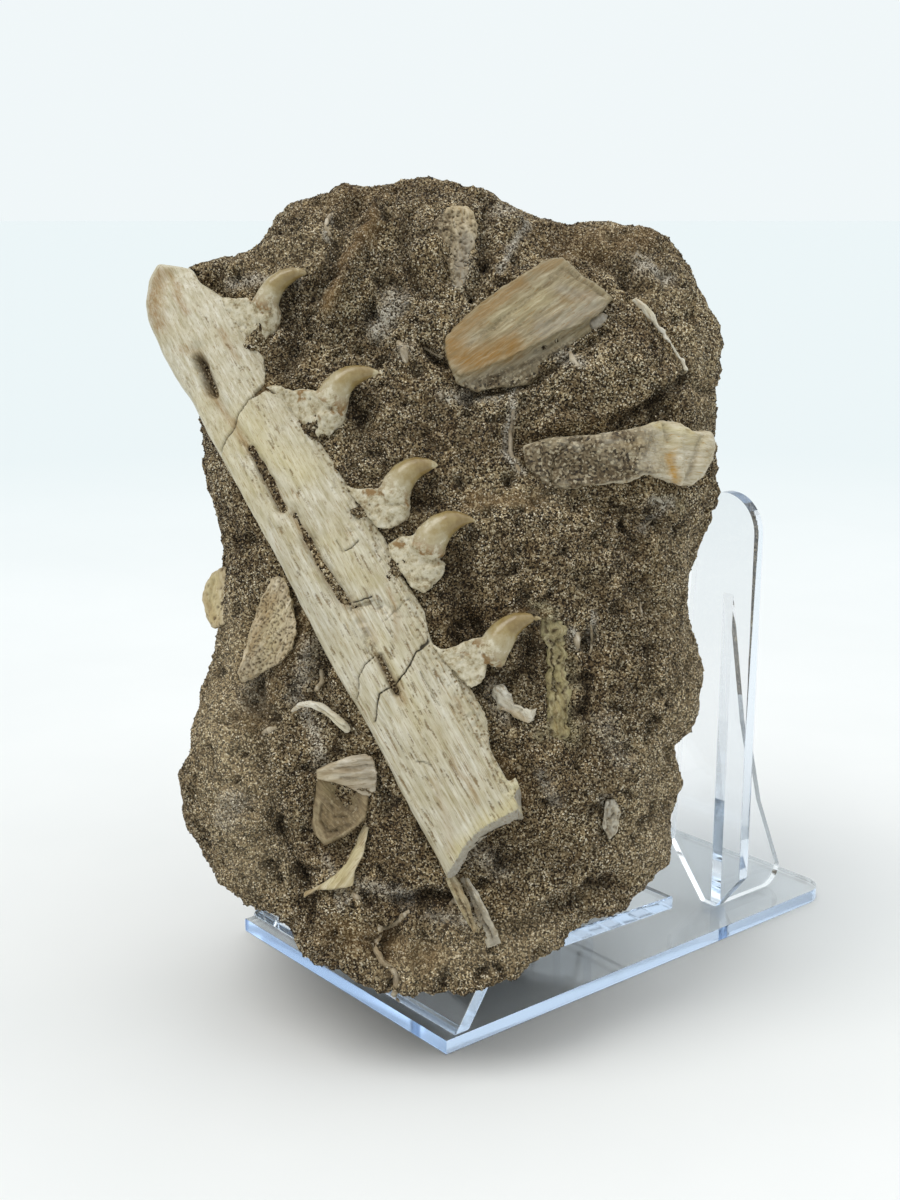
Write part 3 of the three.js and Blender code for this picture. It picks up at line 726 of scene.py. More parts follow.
# Jaw bone
# The left-leaning bar of cream bone, split lengthwise by weather and cracked across. A nerve
# groove with deep pits runs along it, and its lower end is a clean break round a sandy core.
JAW_LEFT = [
    (158, 263), (150, 279), (146, 302), (148, 320), (155, 335), (165, 358), (178, 381), (194, 404),
    (207, 432), (222, 458), (248, 505), (277, 557), (306, 615), (335, 671), (365, 719), (391, 770),
    (412, 812), (433, 849), (445, 873)]
JAW_END = [(450, 885), (463, 874), (476, 857), (491, 844), (508, 834), (525, 823)]
JAW_RIGHT = [
    (521, 806), (522, 793), (517, 780), (510, 786), (500, 769), (489, 748), (487, 724), (481, 708),
    (467, 685), (446, 660), (433, 646), (429, 636), (424, 612), (417, 600), (401, 575), (391, 551),
    (381, 533), (365, 507), (350, 490), (338, 466), (328, 446), (318, 436), (306, 414), (294, 393),
    (272, 387), (262, 390), (256, 394), (264, 384), (266, 370), (262, 347), (250, 326), (235, 306),
    (216, 293), (199, 282), (192, 269), (175, 266)]
JAW_TOP = (166, 279)
JAW_ALONG = np.array([0.490, 0.872])
JAW_STATIONS = [0, 41, 114, 210, 297, 389, 472, 573, 650]
JAW_HEIGHTS = [14, 17.5, 23, 28.5, 32.5, 35.5, 37, 37.5, 37]
JAW_HALF_WIDTHS = [32, 41, 46, 52, 54, 51, 48, 49, 49]
JAW_THICK = 6.3
JAW_RISE = JAW_THICK * 0.93
JAW_THIN_TOP = 26
JAW_SLANT_FROM = 588
JAW_BREAK_FROM = 585
JAW_STEP = 0.00053


def jaw_place(places):
    """How far along the jaw and how far across it a place is, in picture measure."""
    away = places - np.array(JAW_TOP)
    return away @ JAW_ALONG, away @ np.array([JAW_ALONG[1], -JAW_ALONG[0]])


def soften(mesh, rounds):
    """Rounds the edges of a mesh, more with each round."""
    bm = bmesh.new()
    bm.from_mesh(mesh)
    for _ in range(rounds):
        bmesh.ops.smooth_vert(
            bm, verts=bm.verts, factor=0.5, use_axis_x=True, use_axis_y=True, use_axis_z=True)
    bm.to_mesh(mesh)
    bm.free()
    mesh.shade_smooth()


def grainwise(points, heading):
    """Places measured along the bone's grain, across it and out of the face, in millimetres."""
    along = RIGHT * heading[0] - UP * heading[1]
    along = along / np.linalg.norm(along)
    across = np.cross(along, -AHEAD)
    return np.stack([points @ along, points @ across, -(points @ AHEAD)], axis=1) * 1000


def streaks_at(grain, length, width, seed=0.0, octaves=3):
    """A value that changes slowly along the grain and fast across it."""
    stretch = grain / np.array([length, width, width * 2])
    return roughness_at(stretch, 1.0, octaves, seed)


outline = JAW_LEFT + JAW_END + JAW_RIGHT
stations = jaw_place(np.array(outline, float))[0]
middle = np.interp(stations, JAW_STATIONS, JAW_HEIGHTS)
jaw = even_skin("jaw", prism("jaw", outline, middle - JAW_THICK, middle + JAW_RISE), JAW_STEP)
split_front(jaw.data, 0.35)

here = points_of(jaw.data)
places = picture(here)
station, across = jaw_place(places)
bend = np.interp(station, [0, 210, 297, 389, 650], [0, -1.5, 1.5, 3, 2])
share = (across - bend) / np.interp(station, JAW_STATIONS, JAW_HALF_WIDTHS)
middle = np.interp(station, JAW_STATIONS, JAW_HEIGHTS)
above = height_of(here) - middle


def droop(share):
    """How much of its height the bar loses across its width: more to the left."""
    return np.clip(np.where(share < 0, 0.62 * np.abs(share) ** 2.6, 0.30 * np.abs(share) ** 3), 0, 0.8)


# The bar droops to its sides, its break slants and its top end thins out
jaw_way = RIGHT * JAW_ALONG[0] - UP * JAW_ALONG[1]
sag = np.where(above > 0, above * droop(share), 0)
end = np.clip((station - JAW_SLANT_FROM) / 50, 0, 1)
slant = np.clip(above - sag + 1.0, 0, 8) * 0.44 * end * end
top_end = np.clip(1 - station / JAW_THIN_TOP, 0, 1)
thinned = np.clip(above, 0, 9) * 0.30 * top_end ** 1.5
move_to(jaw.data, here + (np.outer(sag + thinned, AHEAD) - np.outer(slant, jaw_way)) * 0.001)
soften(jaw.data, 5)

here, out = points_of(jaw.data), normals_of(jaw.data)
front = front_of(here, out)
grain = grainwise(here, JAW_ALONG)
places = seen(here, 1.3, 0.0025)
GROOVE = [(196, 350), (206, 376), (213, 396), (234, 426), (248, 447), (264, 472), (281, 509)]
GROOVE_LOW = [(291, 514), (306, 540), (318, 563), (332, 586), (345, 603)]
JAW_PITS = [
    ([(197, 357), (204, 373), (211, 391)], 9, 1.0), ([(258, 463), (268, 484), (280, 507)], 6.5, 1.0),
    ([(248, 447), (256, 460)], 5, 0.5), ([(322, 566), (333, 583), (343, 599)], 7, 0.5),
    ([(303, 536), (318, 563)], 7, 0.25), ([(379, 657), (387, 672), (396, 693)], 6.5, 0.7),
    ([(352, 606), (370, 602)], 4, 0.25), ([(256, 393), (265, 387), (275, 390)], 4, 0.9),
]
JAW_CRACKS = [
    ([(257, 393), (248, 399), (243, 406), (236, 417), (232, 427), (225, 440), (222, 447),
      (219, 461)], 1.5, 0.8),
    ([(430, 640), (423, 648), (417, 651), (410, 664), (406, 671), (396, 683), (391, 687),
      (379, 694), (374, 722)], 1.7, 1.0),
    ([(430, 640), (422, 647)], 3.2, 1.0),
    ([(375, 655), (364, 665), (357, 679), (358, 690), (355, 704)], 1.4, 0.8),
    ([(345, 551), (352, 546), (359, 540)], 1.4, 0.8), ([(337, 541), (343, 552)], 1.8, 0.6),
    ([(353, 602), (366, 598), (372, 596)], 1.8, 0.9), ([(386, 620), (398, 608), (409, 598)], 1.3, 0.5),
    ([(417, 762), (424, 762), (431, 766)], 1.4, 0.6), ([(420, 650), (428, 664)], 1.4, 0.5),
    ([(444, 655), (462, 686), (478, 720)], 1.2, 0.5), ([(420, 672), (440, 706)], 1.2, 0.5),
]
CHIPPED = [([(350, 610), (372, 602), (396, 612)], 9, 1.0), ([(362, 625), (372, 650)], 10, 0.8)]
pits = strongest(places, JAW_PITS, front)
cracks = strongest(seen(here, 0.9, 0.0012), JAW_CRACKS, front)
groove = strongest(places, [(GROOVE, 12, 0.9), (GROOVE_LOW, 15, 1.0)], front)
wall = strongest(places + np.array([-3.0, 1.0]), [(GROOVE_LOW, 5, 1.0), (GROOVE[4:], 5, 1.0)], front)
chipped = strongest(seen(here, 3.0, 0.002), CHIPPED, front)
station, across = jaw_place(picture(here))
half_width = np.interp(station, JAW_STATIONS, JAW_HALF_WIDTHS)
margin = np.clip((across - 0.74 * half_width) / 14 + 0.7 * roughness_at(here, 0.004, 3, 33.0), 0, 1)
margin *= front * (across > 0.4 * half_width)
fine = streaks_at(grain, 7.0, 0.55)
slits = np.clip((streaks_at(grain, 3.8, 0.30, 21.0, 2) - 0.36) * 6, 0, 1)
slits *= np.clip(0.05 + station / 800 + 1.8 * streaks_at(grain, 16, 3, 4.0, 2), 0, 1) * front
waves = streaks_at(grain, 30, 3.4, 8.0, 2)
rough_edge = roughness_at(here, 0.0011, 3, 2.0) * margin
chipping = chipped * (1 + roughness_at(here, 0.0016, 2, 6.0))
lift = (-1.2 * groove - 0.7 * wall - 2.8 * pits ** 1.2 - 0.8 * cracks - 0.7 * chipping
        + 0.15 * fine - 0.26 * slits + 0.35 * waves + 0.34 * rough_edge)
lift = lift * np.clip(front + 0.35, 0, 1) + 0.12 * roughness_at(here, 0.003, 2, 1.0)
moved = here + out * (lift * 0.001)[:, None]

# The break at the lower end: a band of dense bone round a core that the sand has got into
CUT_BAND = 3.0
lower_end = (station > JAW_BREAK_FROM) & (out @ jaw_way > 0.35)
share = (across - 2) / JAW_HALF_WIDTHS[-1]
over_middle = height_of(here) - np.interp(station, JAW_STATIONS, JAW_HEIGHTS)
below_top = JAW_RISE * (1 - droop(share)) - over_middle
depth_in = np.clip(below_top - CUT_BAND, 0, 1) * np.clip((48 - np.abs(across)) / 8, 0, 1)
core = np.where(lower_end, depth_in, 0)
moved = moved - jaw_way * (core * 0.0022 * (1 + 0.5 * roughness_at(here, 0.0015, 2, 3.0)))[:, None]
move_to(jaw.data, moved)

JAW_TAN = [
    ([(160, 275), (152, 300), (160, 325)], 16, 0.9), ([(176, 285), (186, 312)], 7, 0.8),
    ([(166, 270), (178, 296)], 6, 0.6), ([(222, 332), (236, 360)], 6, 0.7),
    ([(210, 392), (250, 452)], 8, 0.75), (GROOVE, 7, 0.6), (GROOVE_LOW, 7, 0.65),
    ([(186, 350), (196, 352)], 9, 0.5), ([(375, 655), (402, 700)], 8, 0.6),
    ([(350, 600), (375, 640)], 8, 0.5), ([(395, 640), (400, 615)], 6, 0.4),
    ([(452, 762), (472, 790), (478, 800)], 6, 0.6), ([(440, 800), (452, 850)], 9, 0.35),
    ([(430, 780), (440, 800)], 6, 0.4), ([(498, 762), (488, 740)], 7, 0.6),
    ([(388, 590), (398, 622)], 5, 0.6), ([(265, 385), (290, 392)], 6, 0.5),
    ([(436, 650), (470, 690)], 5, 0.45), ([(455, 700), (462, 716)], 5, 0.6),
]
JAW_YELLOW = [
    ([(240, 420), (300, 470)], 34, 0.7), ([(460, 850), (500, 815), (520, 790)], 20, 0.9),
    ([(380, 640), (420, 720)], 24, 0.35), ([(200, 400), (260, 520)], 22, 0.35),
    ([(330, 540), (370, 580)], 20, 0.3), ([(500, 780), (518, 800)], 12, 0.6),
]
JAW_GREY = [
    ([(250, 500), (330, 640)], 14, 0.4), ([(230, 330), (262, 372)], 16, 0.25),
    ([(470, 700), (486, 735)], 12, 0.4),
]
store(jaw.data, "tan", strongest(seen(here, 4.0, 0.004), JAW_TAN, front))
store(jaw.data, "yellow", strongest(seen(here, 10.0, 0.009), JAW_YELLOW, front))
store(jaw.data, "grey", np.maximum(strongest(places, JAW_GREY, front) * 0.4, lower_end * (1 - core)))
store(jaw.data, "slit", slits)
store(jaw.data, "crack", cracks)
sandy_groove = strongest(places + np.array([-2.0, 0.0]), [(GROOVE_LOW[1:], 13, 0.55)], front)
hollow = np.maximum(pits ** 0.8 * 1.1, sandy_groove)
sandy_chips = 0.5 * chipped * (roughness_at(here, 0.0012, 2, 4.0) > 0.05)
store(jaw.data, "sandy", np.clip(np.maximum(hollow, core) + sandy_chips, 0, 1))
store(jaw.data, "pitted", margin)
store(jaw.data, "grain", grain)


def bone_finish(name, shades, stain, speckle, roughness=0.6):
    """Old bone: streaked along its grain, with stains, brown slits and sand in its hollows."""
    finish, tree = new_finish(name)
    place = own_place(tree)
    grain = add_node(tree, "ShaderNodeAttribute", attribute_name="grain").outputs["Vector"]

    def streak(stretch, detail, roughness):
        drawn = add_node(tree, "ShaderNodeMapping", {"Vector": grain, "Scale": stretch}).outputs[0]
        return cloud(tree, drawn, 1.0, detail, roughness)

    long_tone = streak((0.12, 1.5, 0.7), 6, 0.6)
    hair_tone = streak((0.35, 3.4, 1.4), 4, 0.65)
    thread_tone = streak((0.16, 5.5, 2.2), 3, 0.6)
    bone = ramp(tree, long_tone, [(0.30, shades[0]), (0.5, shades[1]), (0.70, shades[2])])
    bone = over(tree, spread(tree, hair_tone, 0.58, 0.66, 0.0, 0.65), bone, linear(shades[3]))
    darker = over(tree, 1.0, bone, linear("e6dfc8"), "MULTIPLY")
    bone = over(tree, spread(tree, cloud(tree, place, 160, 5), 0.42, 0.68, 0.0, 0.6), bone, darker)
    bone = over(tree, shared(tree, "yellow", 0.6), bone, linear("cdbf88"))
    broken = spread(tree, hair_tone, 0.34, 0.60, 0.35, 1.0)
    bone = over(tree, combined(tree, "MULTIPLY", mark(tree, "tan"), broken), bone, linear(stain))
    ash = ramp(tree, cloud(tree, place, 900, 3), [(0.3, "8a857c"), (0.7, "aaa59b")])
    bone = over(tree, shared(tree, "grey", 0.8), bone, ash)
    pore_shape, _ = cells(tree, place, 1150)
    pore_share = combined(
        tree, "MULTIPLY", spread(tree, pore_shape, 0.12, 0.36, 1.0, 0.0), mark(tree, "pitted"))
    bone = over(tree, pore_share, bone, linear(speckle))
    bone = over(tree, shared(tree, "hole", 0.85), bone, linear("54432a"))
    bone = over(tree, spread(tree, thread_tone, 0.60, 0.65, 0.0, 0.6), bone, linear(stain))
    bone = over(tree, shared(tree, "slit", 0.85), bone, linear("846c45"))
    bone = over(tree, spread(tree, mark(tree, "crack"), 0.35, 0.8, 0.0, 0.9), bone, linear("2e261b"))
    _, tone = cells(tree, place, 2300)
    sand = ramp(tree, tone, [(0.0, "2b2115"), (0.5, "67563c"), (0.85, "95866a"), (1.0, "b9ad92")])
    bone = over(tree, mark(tree, "sandy"), bone, sand)
    hairy = combined(tree, "SUBTRACT", hair_tone, pore_share)
    close_finish(tree, bone, spread(tree, long_tone, 0.3, 0.7, roughness + 0.08, roughness - 0.08), 0.35,
                 (0.75, 0.00026, hairy))
    return finish


cream_bone = bone_finish("jaw_bone", ("b2a888", "cdc5ad", "e2ddcc", "9a875f"), "98794c", "86704a")
settle(jaw, "jaw_bone", cream_bone)


# Teeth
# Five curved teeth that lean back towards the throat. Each is a tan, glossy enamel crown that
# grew on a low foot of rough pale bone, and the foot is one with the edge of the jaw.
# Feet are outlines of x, y and height; roots and crowns are runs of x, y, height and radius.
TEETH = {
    "tooth_1": (
        [(222, 298, 22.8), (237, 299, 24.8), (247, 298, 26.4), (253, 303, 27.2), (262, 316, 27.4),
         (271, 333, 26.8), (265, 341, 26.2), (256, 344, 25.6), (246, 338, 24.8), (234, 322, 24),
         (225, 309, 23.4)],
        [(271, 331, 25.6, 1.6), (270, 320, 26.2, 2.2), (267, 312, 26.8, 2.6)],
        [(264, 308, 27, 2.7), (269, 295, 27.3, 2.4), (275, 285.5, 27.6, 2.15), (284, 278, 28, 1.8),
         (295, 273.3, 28.3, 1.3), (302, 272.5, 28.5, 0.8), (306.5, 273.5, 28.6, 0.35)]),
    "tooth_2": (
        [(266, 387, 29), (279, 386, 31), (293, 391, 33), (303, 390, 34.2), (315, 391, 35.4),
         (322, 402, 35.8), (331, 413, 35.4), (338, 428, 34.6), (331, 435, 34), (321, 434, 33.6),
         (316, 445, 32.8), (302, 424, 32), (286, 404, 30.6)],
        [(334, 425, 33.4, 2.0), (332, 412, 34.0, 2.9)],
        [(331, 402, 34.2, 3.3), (336, 390.5, 34.8, 3.0), (342.5, 382, 35.2, 2.6),
         (350.5, 376.5, 35.5, 2.2), (359, 373.8, 35.8, 1.75), (367, 372.5, 36, 1.3),
         (373, 372.3, 36, 0.85), (379, 372.5, 36, 0.35)]),
    "tooth_3": (
        [(345, 485, 36.2), (356, 489, 37.2), (365, 490, 38), (378, 488, 39), (386, 500, 39.4),
         (393, 513, 39), (399, 525, 38.6), (389, 529, 38.4), (378, 528, 38.2), (366, 513, 37.8),
         (354, 497, 37)],
        [(402, 518, 37.4, 1.6), (398, 506, 38.1, 2.6)],
        [(393.5, 496, 38.4, 3.1), (398, 484, 38.8, 2.95), (404.5, 475, 39.1, 2.7),
         (412, 469.5, 39.4, 2.3), (419, 466.5, 39.6, 1.9), (428, 465, 39.9, 1.3),
         (434, 464.8, 40, 0.75), (438, 465.8, 40, 0.3)]),
    "tooth_4": (
        [(388, 545, 39.2), (402, 536, 40.2), (413, 536, 40.8), (419, 551, 41.2), (425, 566, 41),
         (432, 587, 40.4), (424, 593, 40.2), (412, 588, 40), (401, 572, 39.8), (391, 556, 39.6)],
        [(433, 578, 38.8, 2.0), (431, 565, 39.4, 2.9)],
        [(427, 550, 39.8, 3.5), (432, 537, 40.2, 3.25), (441, 527, 40.5, 2.85),
         (450.5, 521.6, 40.8, 2.3), (460, 519.5, 41, 1.6), (468, 519.5, 41.1, 0.85),
         (475.5, 520.8, 41.2, 0.35)]),
    "tooth_5": (
        [(432, 645, 41.4), (442, 650, 41.6), (458, 646, 41.8), (473, 639, 42), (481, 638, 42),
         (485, 650, 42), (487, 663, 41.6), (485, 675, 41.2), (480, 683, 41), (470, 687, 41.2),
         (458, 675, 41.4), (444, 662, 41.4)],
        [(499, 663, 39, 1.5), (496, 655, 39.6, 2.4)],
        [(487, 654, 39.8, 2.9), (494, 648, 40.1, 3.1), (499, 640, 40.3, 3.0), (504, 632.8, 40.4, 2.75),
         (510.5, 626.2, 40.6, 2.3), (519, 621, 40.8, 1.8), (527.5, 618.6, 40.9, 1.2),
         (535, 617.8, 41, 0.65), (542, 618.7, 41, 0.25)]),
}
FOOT_THICK = 5
TOOTH_STEP = 0.00026
CROWN_ROUND = 20


def tapered(runs, sides):
    """Round bars with pointed ends, each along its own run of x, y, height and radius."""
    bm = bmesh.new()
    for run in runs:
        way = [Vector(spot(x, y, h)) for x, y, h, _ in run]
        radii = [radius * 0.001 for *_, radius in run]
        ahead = [(after - before).normalized() for before, after in zip(way[:1] + way, way[1:] + way[-1:])]
        rings = []
        for point, radius, along in zip(way, radii, ahead):
            side = along.cross(Vector(AHEAD)).normalized()
            lifted = side.cross(along)
            turns = [math.tau * k / sides for k in range(sides)]
            rings.append([bm.verts.new(point + radius * (math.cos(turn) * side + math.sin(turn) * lifted))
                          for turn in turns])
        for low, high in zip(rings, rings[1:]):
            for k in range(sides):
                bm.faces.new((low[k], low[(k + 1) % sides], high[(k + 1) % sides], high[k]))
        for ring, point, radius, along in ((rings[0], way[0], radii[0], -ahead[0]),
                                           (rings[-1], way[-1], radii[-1], ahead[-1])):
            tip = bm.verts.new(point + along * radius * 0.7)
            for k in range(sides):
                bm.faces.new((ring[k], ring[(k + 1) % sides], tip))
    bmesh.ops.recalc_face_normals(bm, faces=bm.faces)
    return written("bars", bm)


enamel, tree = new_finish("enamel_on_bone")
place = own_place(tree)
veil = cloud(tree, place, 420, 5, 0.6)
shade = combined(tree, "ADD", mark(tree, "crown"), spread(tree, veil, 0.3, 0.7, -0.14, 0.14))
GLAZE_SHADES = [(0.30, "c4ba9e"), (0.42, "b0a27f"), (0.56, "9c895b"), (0.74, "867044"),
                (0.88, "99855a"), (0.97, "c0b38f")]
glaze = ramp(tree, shade, GLAZE_SHADES)
pore_shape, _ = cells(tree, place, 1500)
foot = ramp(tree, cloud(tree, place, 640, 6, 0.72), [
    (0.36, "8f7c5a"), (0.43, "b3a686"), (0.52, "cbc1a5"), (0.66, "dad2bc")])
foot = over(tree, spread(tree, pore_shape, 0.06, 0.22, 0.5, 0.0), foot, linear("8d7853"))
foot = over(tree, shared(tree, "pitted", 0.9), foot, linear("6b5738"))
is_crown = spread(tree, shade, 0.27, 0.36)
colour = over(tree, is_crown, foot, glaze)
collar = ramp(tree, shade, [(0.22, "000000"), (0.29, "ffffff"), (0.33, "ffffff"), (0.40, "000000")])
collar_share = over(tree, 1.0, collar, ramp(tree, veil, [(0.45, "000000"), (0.6, "ffffff")]), "MULTIPLY")
colour = over(tree, collar_share, colour, linear("8a6b3e"))
close_finish(tree, colour, spread(tree, is_crown, 0, 1, 0.75, 0.24), 0.5, (
    spread(tree, is_crown, 0, 1, 0.8, 0.12), 0.0003, cloud(tree, place, 1100, 4, 0.6)))

for name, (foot_outline, root_run, crown_run) in TEETH.items():
    tops = np.array([height for *_, height in foot_outline])
    foot = prism("foot", [corner[:2] for corner in foot_outline], tops - FOOT_THICK, tops)
    bars = tapered([root_run, crown_run], CROWN_ROUND)
    tooth = even_skin(name + "_grown", joined("tooth", [foot, bars]), TOOTH_STEP)
    soften(tooth.data, 5)
    here, out = points_of(tooth.data), normals_of(tooth.data)

    # How far up the crown each point is: 0.25 at its root and less on the foot, 1 at its tip
    line = np.array([spot(x, y, h) for x, y, h, _ in crown_run])
    reach = np.full(len(here), 1e9)
    crown = np.zeros(len(here))
    for k, (start, stop) in enumerate(zip(line, line[1:])):
        step = stop - start
        share = np.clip((here - start) @ step / (step @ step), -1 if k == 0 else 0, 1)
        away = np.linalg.norm(here - start - share[:, None] * step, axis=1)
        crown = np.where(away < reach, (k + share) / (len(line) - 1), crown)
        reach = np.minimum(reach, away)
    crown = np.clip(0.25 + 0.75 * crown, 0, 1)
    rough = np.clip((0.36 - crown) / 0.1, 0, 1)
    pits = pores_at(here, 0.0011, 0.36) * (roughness_at(here, 0.0026, 2, 8.0) > 0.02)
    lumps = 0.24 * roughness_at(here, 0.0034, 3, 1.5) + 0.24 * roughness_at(here, 0.0009, 2, 2.5)
    lift = rough * (lumps - 0.40 * pits) + (1 - rough) * 0.05 * roughness_at(here, 0.0035, 2, 3.0)
    move_to(tooth.data, here + out * (lift * 0.001)[:, None])
    store(tooth.data, "pitted", pits * rough)
    store(tooth.data, "crown", crown)
    settle(tooth, name, enamel)


# Broken bones
# Pieces of other bones that lie in the sand round the jaw: a split plate, a long bone whose end
# shows at the side, spongy lumps and thin splinters. Each is held by the stone it lies in.
packed_tree = tree_of(packed(FOSSILS + ["sandstone"]))


def lies_at(x, y):
    """How high the block stands, fossils and all, where it is seen at x, y."""
    return height_seen(packed_tree, x, y, 34)


def slab(name, layers, step, rounds, flat=0.6):
    """Bone in one or more layers. Each layer is its outline, thickness and lift in mm;
    a corner may have its own lift as a third number. A flat slab doesn't follow the block."""
    parts = []
    for outline, thick, lift in layers:
        corners = np.array([corner[:2] for corner in outline], float)
        inward = corners + 0.2 * (corners.mean(0) - corners)
        lying = np.array([lies_at(*corner) for corner in inward])
        level = np.c_[inward, np.ones(len(inward))]
        plane = np.clip(level @ np.linalg.lstsq(level, lying, rcond=None)[0], lying.min(), lying.max())
        heights = flat * plane + (1 - flat) * lying
        own = np.array([corner[2] if len(corner) > 2 else 0.0 for corner in outline])
        parts.append(prism(name, corners, heights - thick + lift, heights + lift + own))
    piece = even_skin(name, joined(name, parts), step)
    soften(piece.data, rounds)
    return piece


def weather(piece, heading, marks=(), streaky=0.1, lumpy=0.25, pores=None, ragged=0.12, sanded=()):
    """Cuts marks, streaks, lumps and pores into a bone, and notes its grain and its sandy parts."""
    here, out = points_of(piece.data), normals_of(piece.data)
    front = front_of(here, out)
    grain = grainwise(here, heading)
    cut = strokes(seen(here, 1.5, 0.002), marks, front)
    lift = cut + lumpy * roughness_at(here, 0.0035, 3, 4.4) + streaky * streaks_at(grain, 6, 0.7, 2.2)
    holes = np.zeros(len(here))
    if pores:
        size, open_share, depth, seed = pores
        shaken = here + 0.0002 * roughness_at(here, 0.0008, 2, seed)[:, None]
        holes = pores_at(shaken, size, open_share) * front
        lift -= depth * holes
    aside = np.outer(roughness_at(here, 0.0016, 3, 14.0), RIGHT)
    aside += np.outer(roughness_at(here, 0.0016, 3, 17.0), UP)
    move_to(piece.data, here + (out * lift[:, None] + aside * ragged) * 0.001)
    store(piece.data, "grain", grain)
    store(piece.data, "hole", np.clip(holes * 1.8, 0, 1))
    patchy = np.clip(0.75 + 0.9 * roughness_at(here, 0.0022, 4, 23.0), 0.42, 1)
    sandy = np.clip(-cut / 1.5, 0, 0.9) + 0.8 * np.clip(holes * 1.6 - 0.6, 0, 1)
    sandy += strongest(picture(here), sanded, front) * patchy
    store(piece.data, "sandy", np.clip(sandy, 0, 1))
    store(piece.data, "slit", np.clip(streaks_at(grain, 4.0, 0.36, 6.0, 2) * 4 - 1.5, 0, 1) * 0.6)


def stain(piece, tan=(), yellow=(), grey=()):
    """Notes where a bone is stained."""
    here = points_of(piece.data)
    front = front_of(here, normals_of(piece.data))
    places = seen(here, 4.0, 0.003)
    for name, marks in (("tan", tan), ("yellow", yellow), ("grey", grey)):
        store(piece.data, name, strongest(places, marks, front))


plate_bone = bone_finish("plate_bone", ("7c6f54", "978a6c", "b8ad92", "735f40"), "8d682c", "75603f")
PLATE_UPPER_OUTLINE = [
    (445, 338, -0.4), (455, 326, -0.2), (476, 308, 0), (502, 288, 0.1), (525, 273, 0.2), (551, 259, 0.3),
    (562, 258, 0.5), (570, 264, 0.5), (581, 275, 0.6), (604, 290, 0.6), (613, 299, 0.4), (606, 306, 0.6),
    (598, 315, 0.8), (581, 324, 0.9), (562, 332, 0.9), (543, 341, 0.9), (513, 356, 0.8), (487, 367, 0.7),
    (460, 377, 0.5), (449, 364, 0), (445, 352, -0.3)]
PLATE_LOWER_OUTLINE = [
    (450, 366), (460, 370), (520, 344), (556, 326), (588, 316), (592, 332), (575, 347), (553, 359),
    (529, 385), (500, 387), (477, 392), (457, 384)]
plate = slab("bone_plate_split", [
    (PLATE_UPPER_OUTLINE, 5.0, 1.5), (PLATE_LOWER_OUTLINE, 4.0, 0.4)], 0.0004, 2, 1.0)
weather(plate, (0.8, -0.6), [
    ([(468, 345), (520, 305), (560, 272)], 4, -0.45), ([(505, 345), (560, 312), (600, 300)], 5, 0.45),
    ([(562, 268), (604, 296)], 3, -0.5), ([(556, 276), (594, 304)], 4, 0.35),
    ([(480, 322), (530, 284)], 4, 0.35), ([(520, 325), (575, 288)], 3, -0.35),
    ([(470, 366), (530, 338)], 4, 0.3), ([(535, 352), (588, 324)], 3, -0.5),
    ([(496, 328), (512, 318)], 5, -0.4), ([(480, 380), (540, 358)], 3, -0.5)
], streaky=0.24, lumpy=0.2, ragged=0.14, sanded=[([(460, 392), (520, 380), (594, 340)], 18, 1.4)])
stain(plate, tan=[([(452, 345), (470, 362), (512, 346)], 22, 1.0), ([(455, 332), (520, 282)], 16, 0.7),
                  ([(535, 268), (560, 262)], 9, 0.5), ([(470, 372), (500, 360)], 10, 0.6),
                  ([(560, 300), (590, 296)], 7, 0.4)],
      yellow=[([(500, 320), (540, 300)], 20, 0.3)],
      grey=[([(540, 330), (600, 305)], 16, 0.4), ([(470, 388), (570, 345)], 14, 0.3),
            ([(560, 290), (598, 300)], 10, 0.35)])
settle(plate, "bone_plate", plate_bone)

long_shades = bone_finish("long_bone", ("b0a386", "c6bba1", "ddd5c1", "96825e"), "b0842f", "6e5a3c")
LOG_OUTLINE = [
    (524, 447, -1.6), (532, 443, -1.4), (552, 438, -0.8), (586, 436, 0), (611, 433, 0.2), (640, 428, 0.3),
    (651, 423, 0.4), (662, 421, 0.6), (680, 424, 0.6), (694, 432, 0.2), (711, 433, -0.4),
    (715, 446, -0.4), (712, 460, 0), (703, 474, 0.2), (691, 487, 0), (672, 482, 0.2), (645, 474, 0.4),
    (626, 482, -0.4), (590, 485, -0.8), (555, 490, -1.6), (537, 481, -1.6), (526, 463, -1.6)]
log = slab("long_bone_worn", [(LOG_OUTLINE, 7.0, 1.3)], 0.00042, 9, 0.0)
weather(log, (1.0, 0.0), [
    ([(552, 482), (551, 470), (556, 456), (570, 443), (586, 437)], 2.4, -0.9),
    ([(664, 424), (668, 440)], 3, -0.6), ([(600, 440), (650, 432)], 10, 0.6),
    ([(704, 434), (696, 452), (686, 480)], 5, -0.6), ([(678, 430), (680, 480)], 9, 0.7),
    ([(575, 470), (640, 478)], 12, -0.9), ([(560, 450), (640, 446)], 14, 0.8)
], streaky=0.04, lumpy=0.4, ragged=0.25, sanded=[([(530, 462), (604, 463)], 80, 1.8)])
stain(log, tan=[([(670, 455), (676, 484)], 8, 1.0), ([(610, 450), (640, 446)], 14, 0.4)],
      yellow=[([(656, 424), (690, 432)], 8, 0.8), ([(670, 440), (700, 440)], 14, 0.4)],
      grey=[([(620, 470), (650, 478)], 10, 0.4)])
settle(log, "long_bone", long_shades)

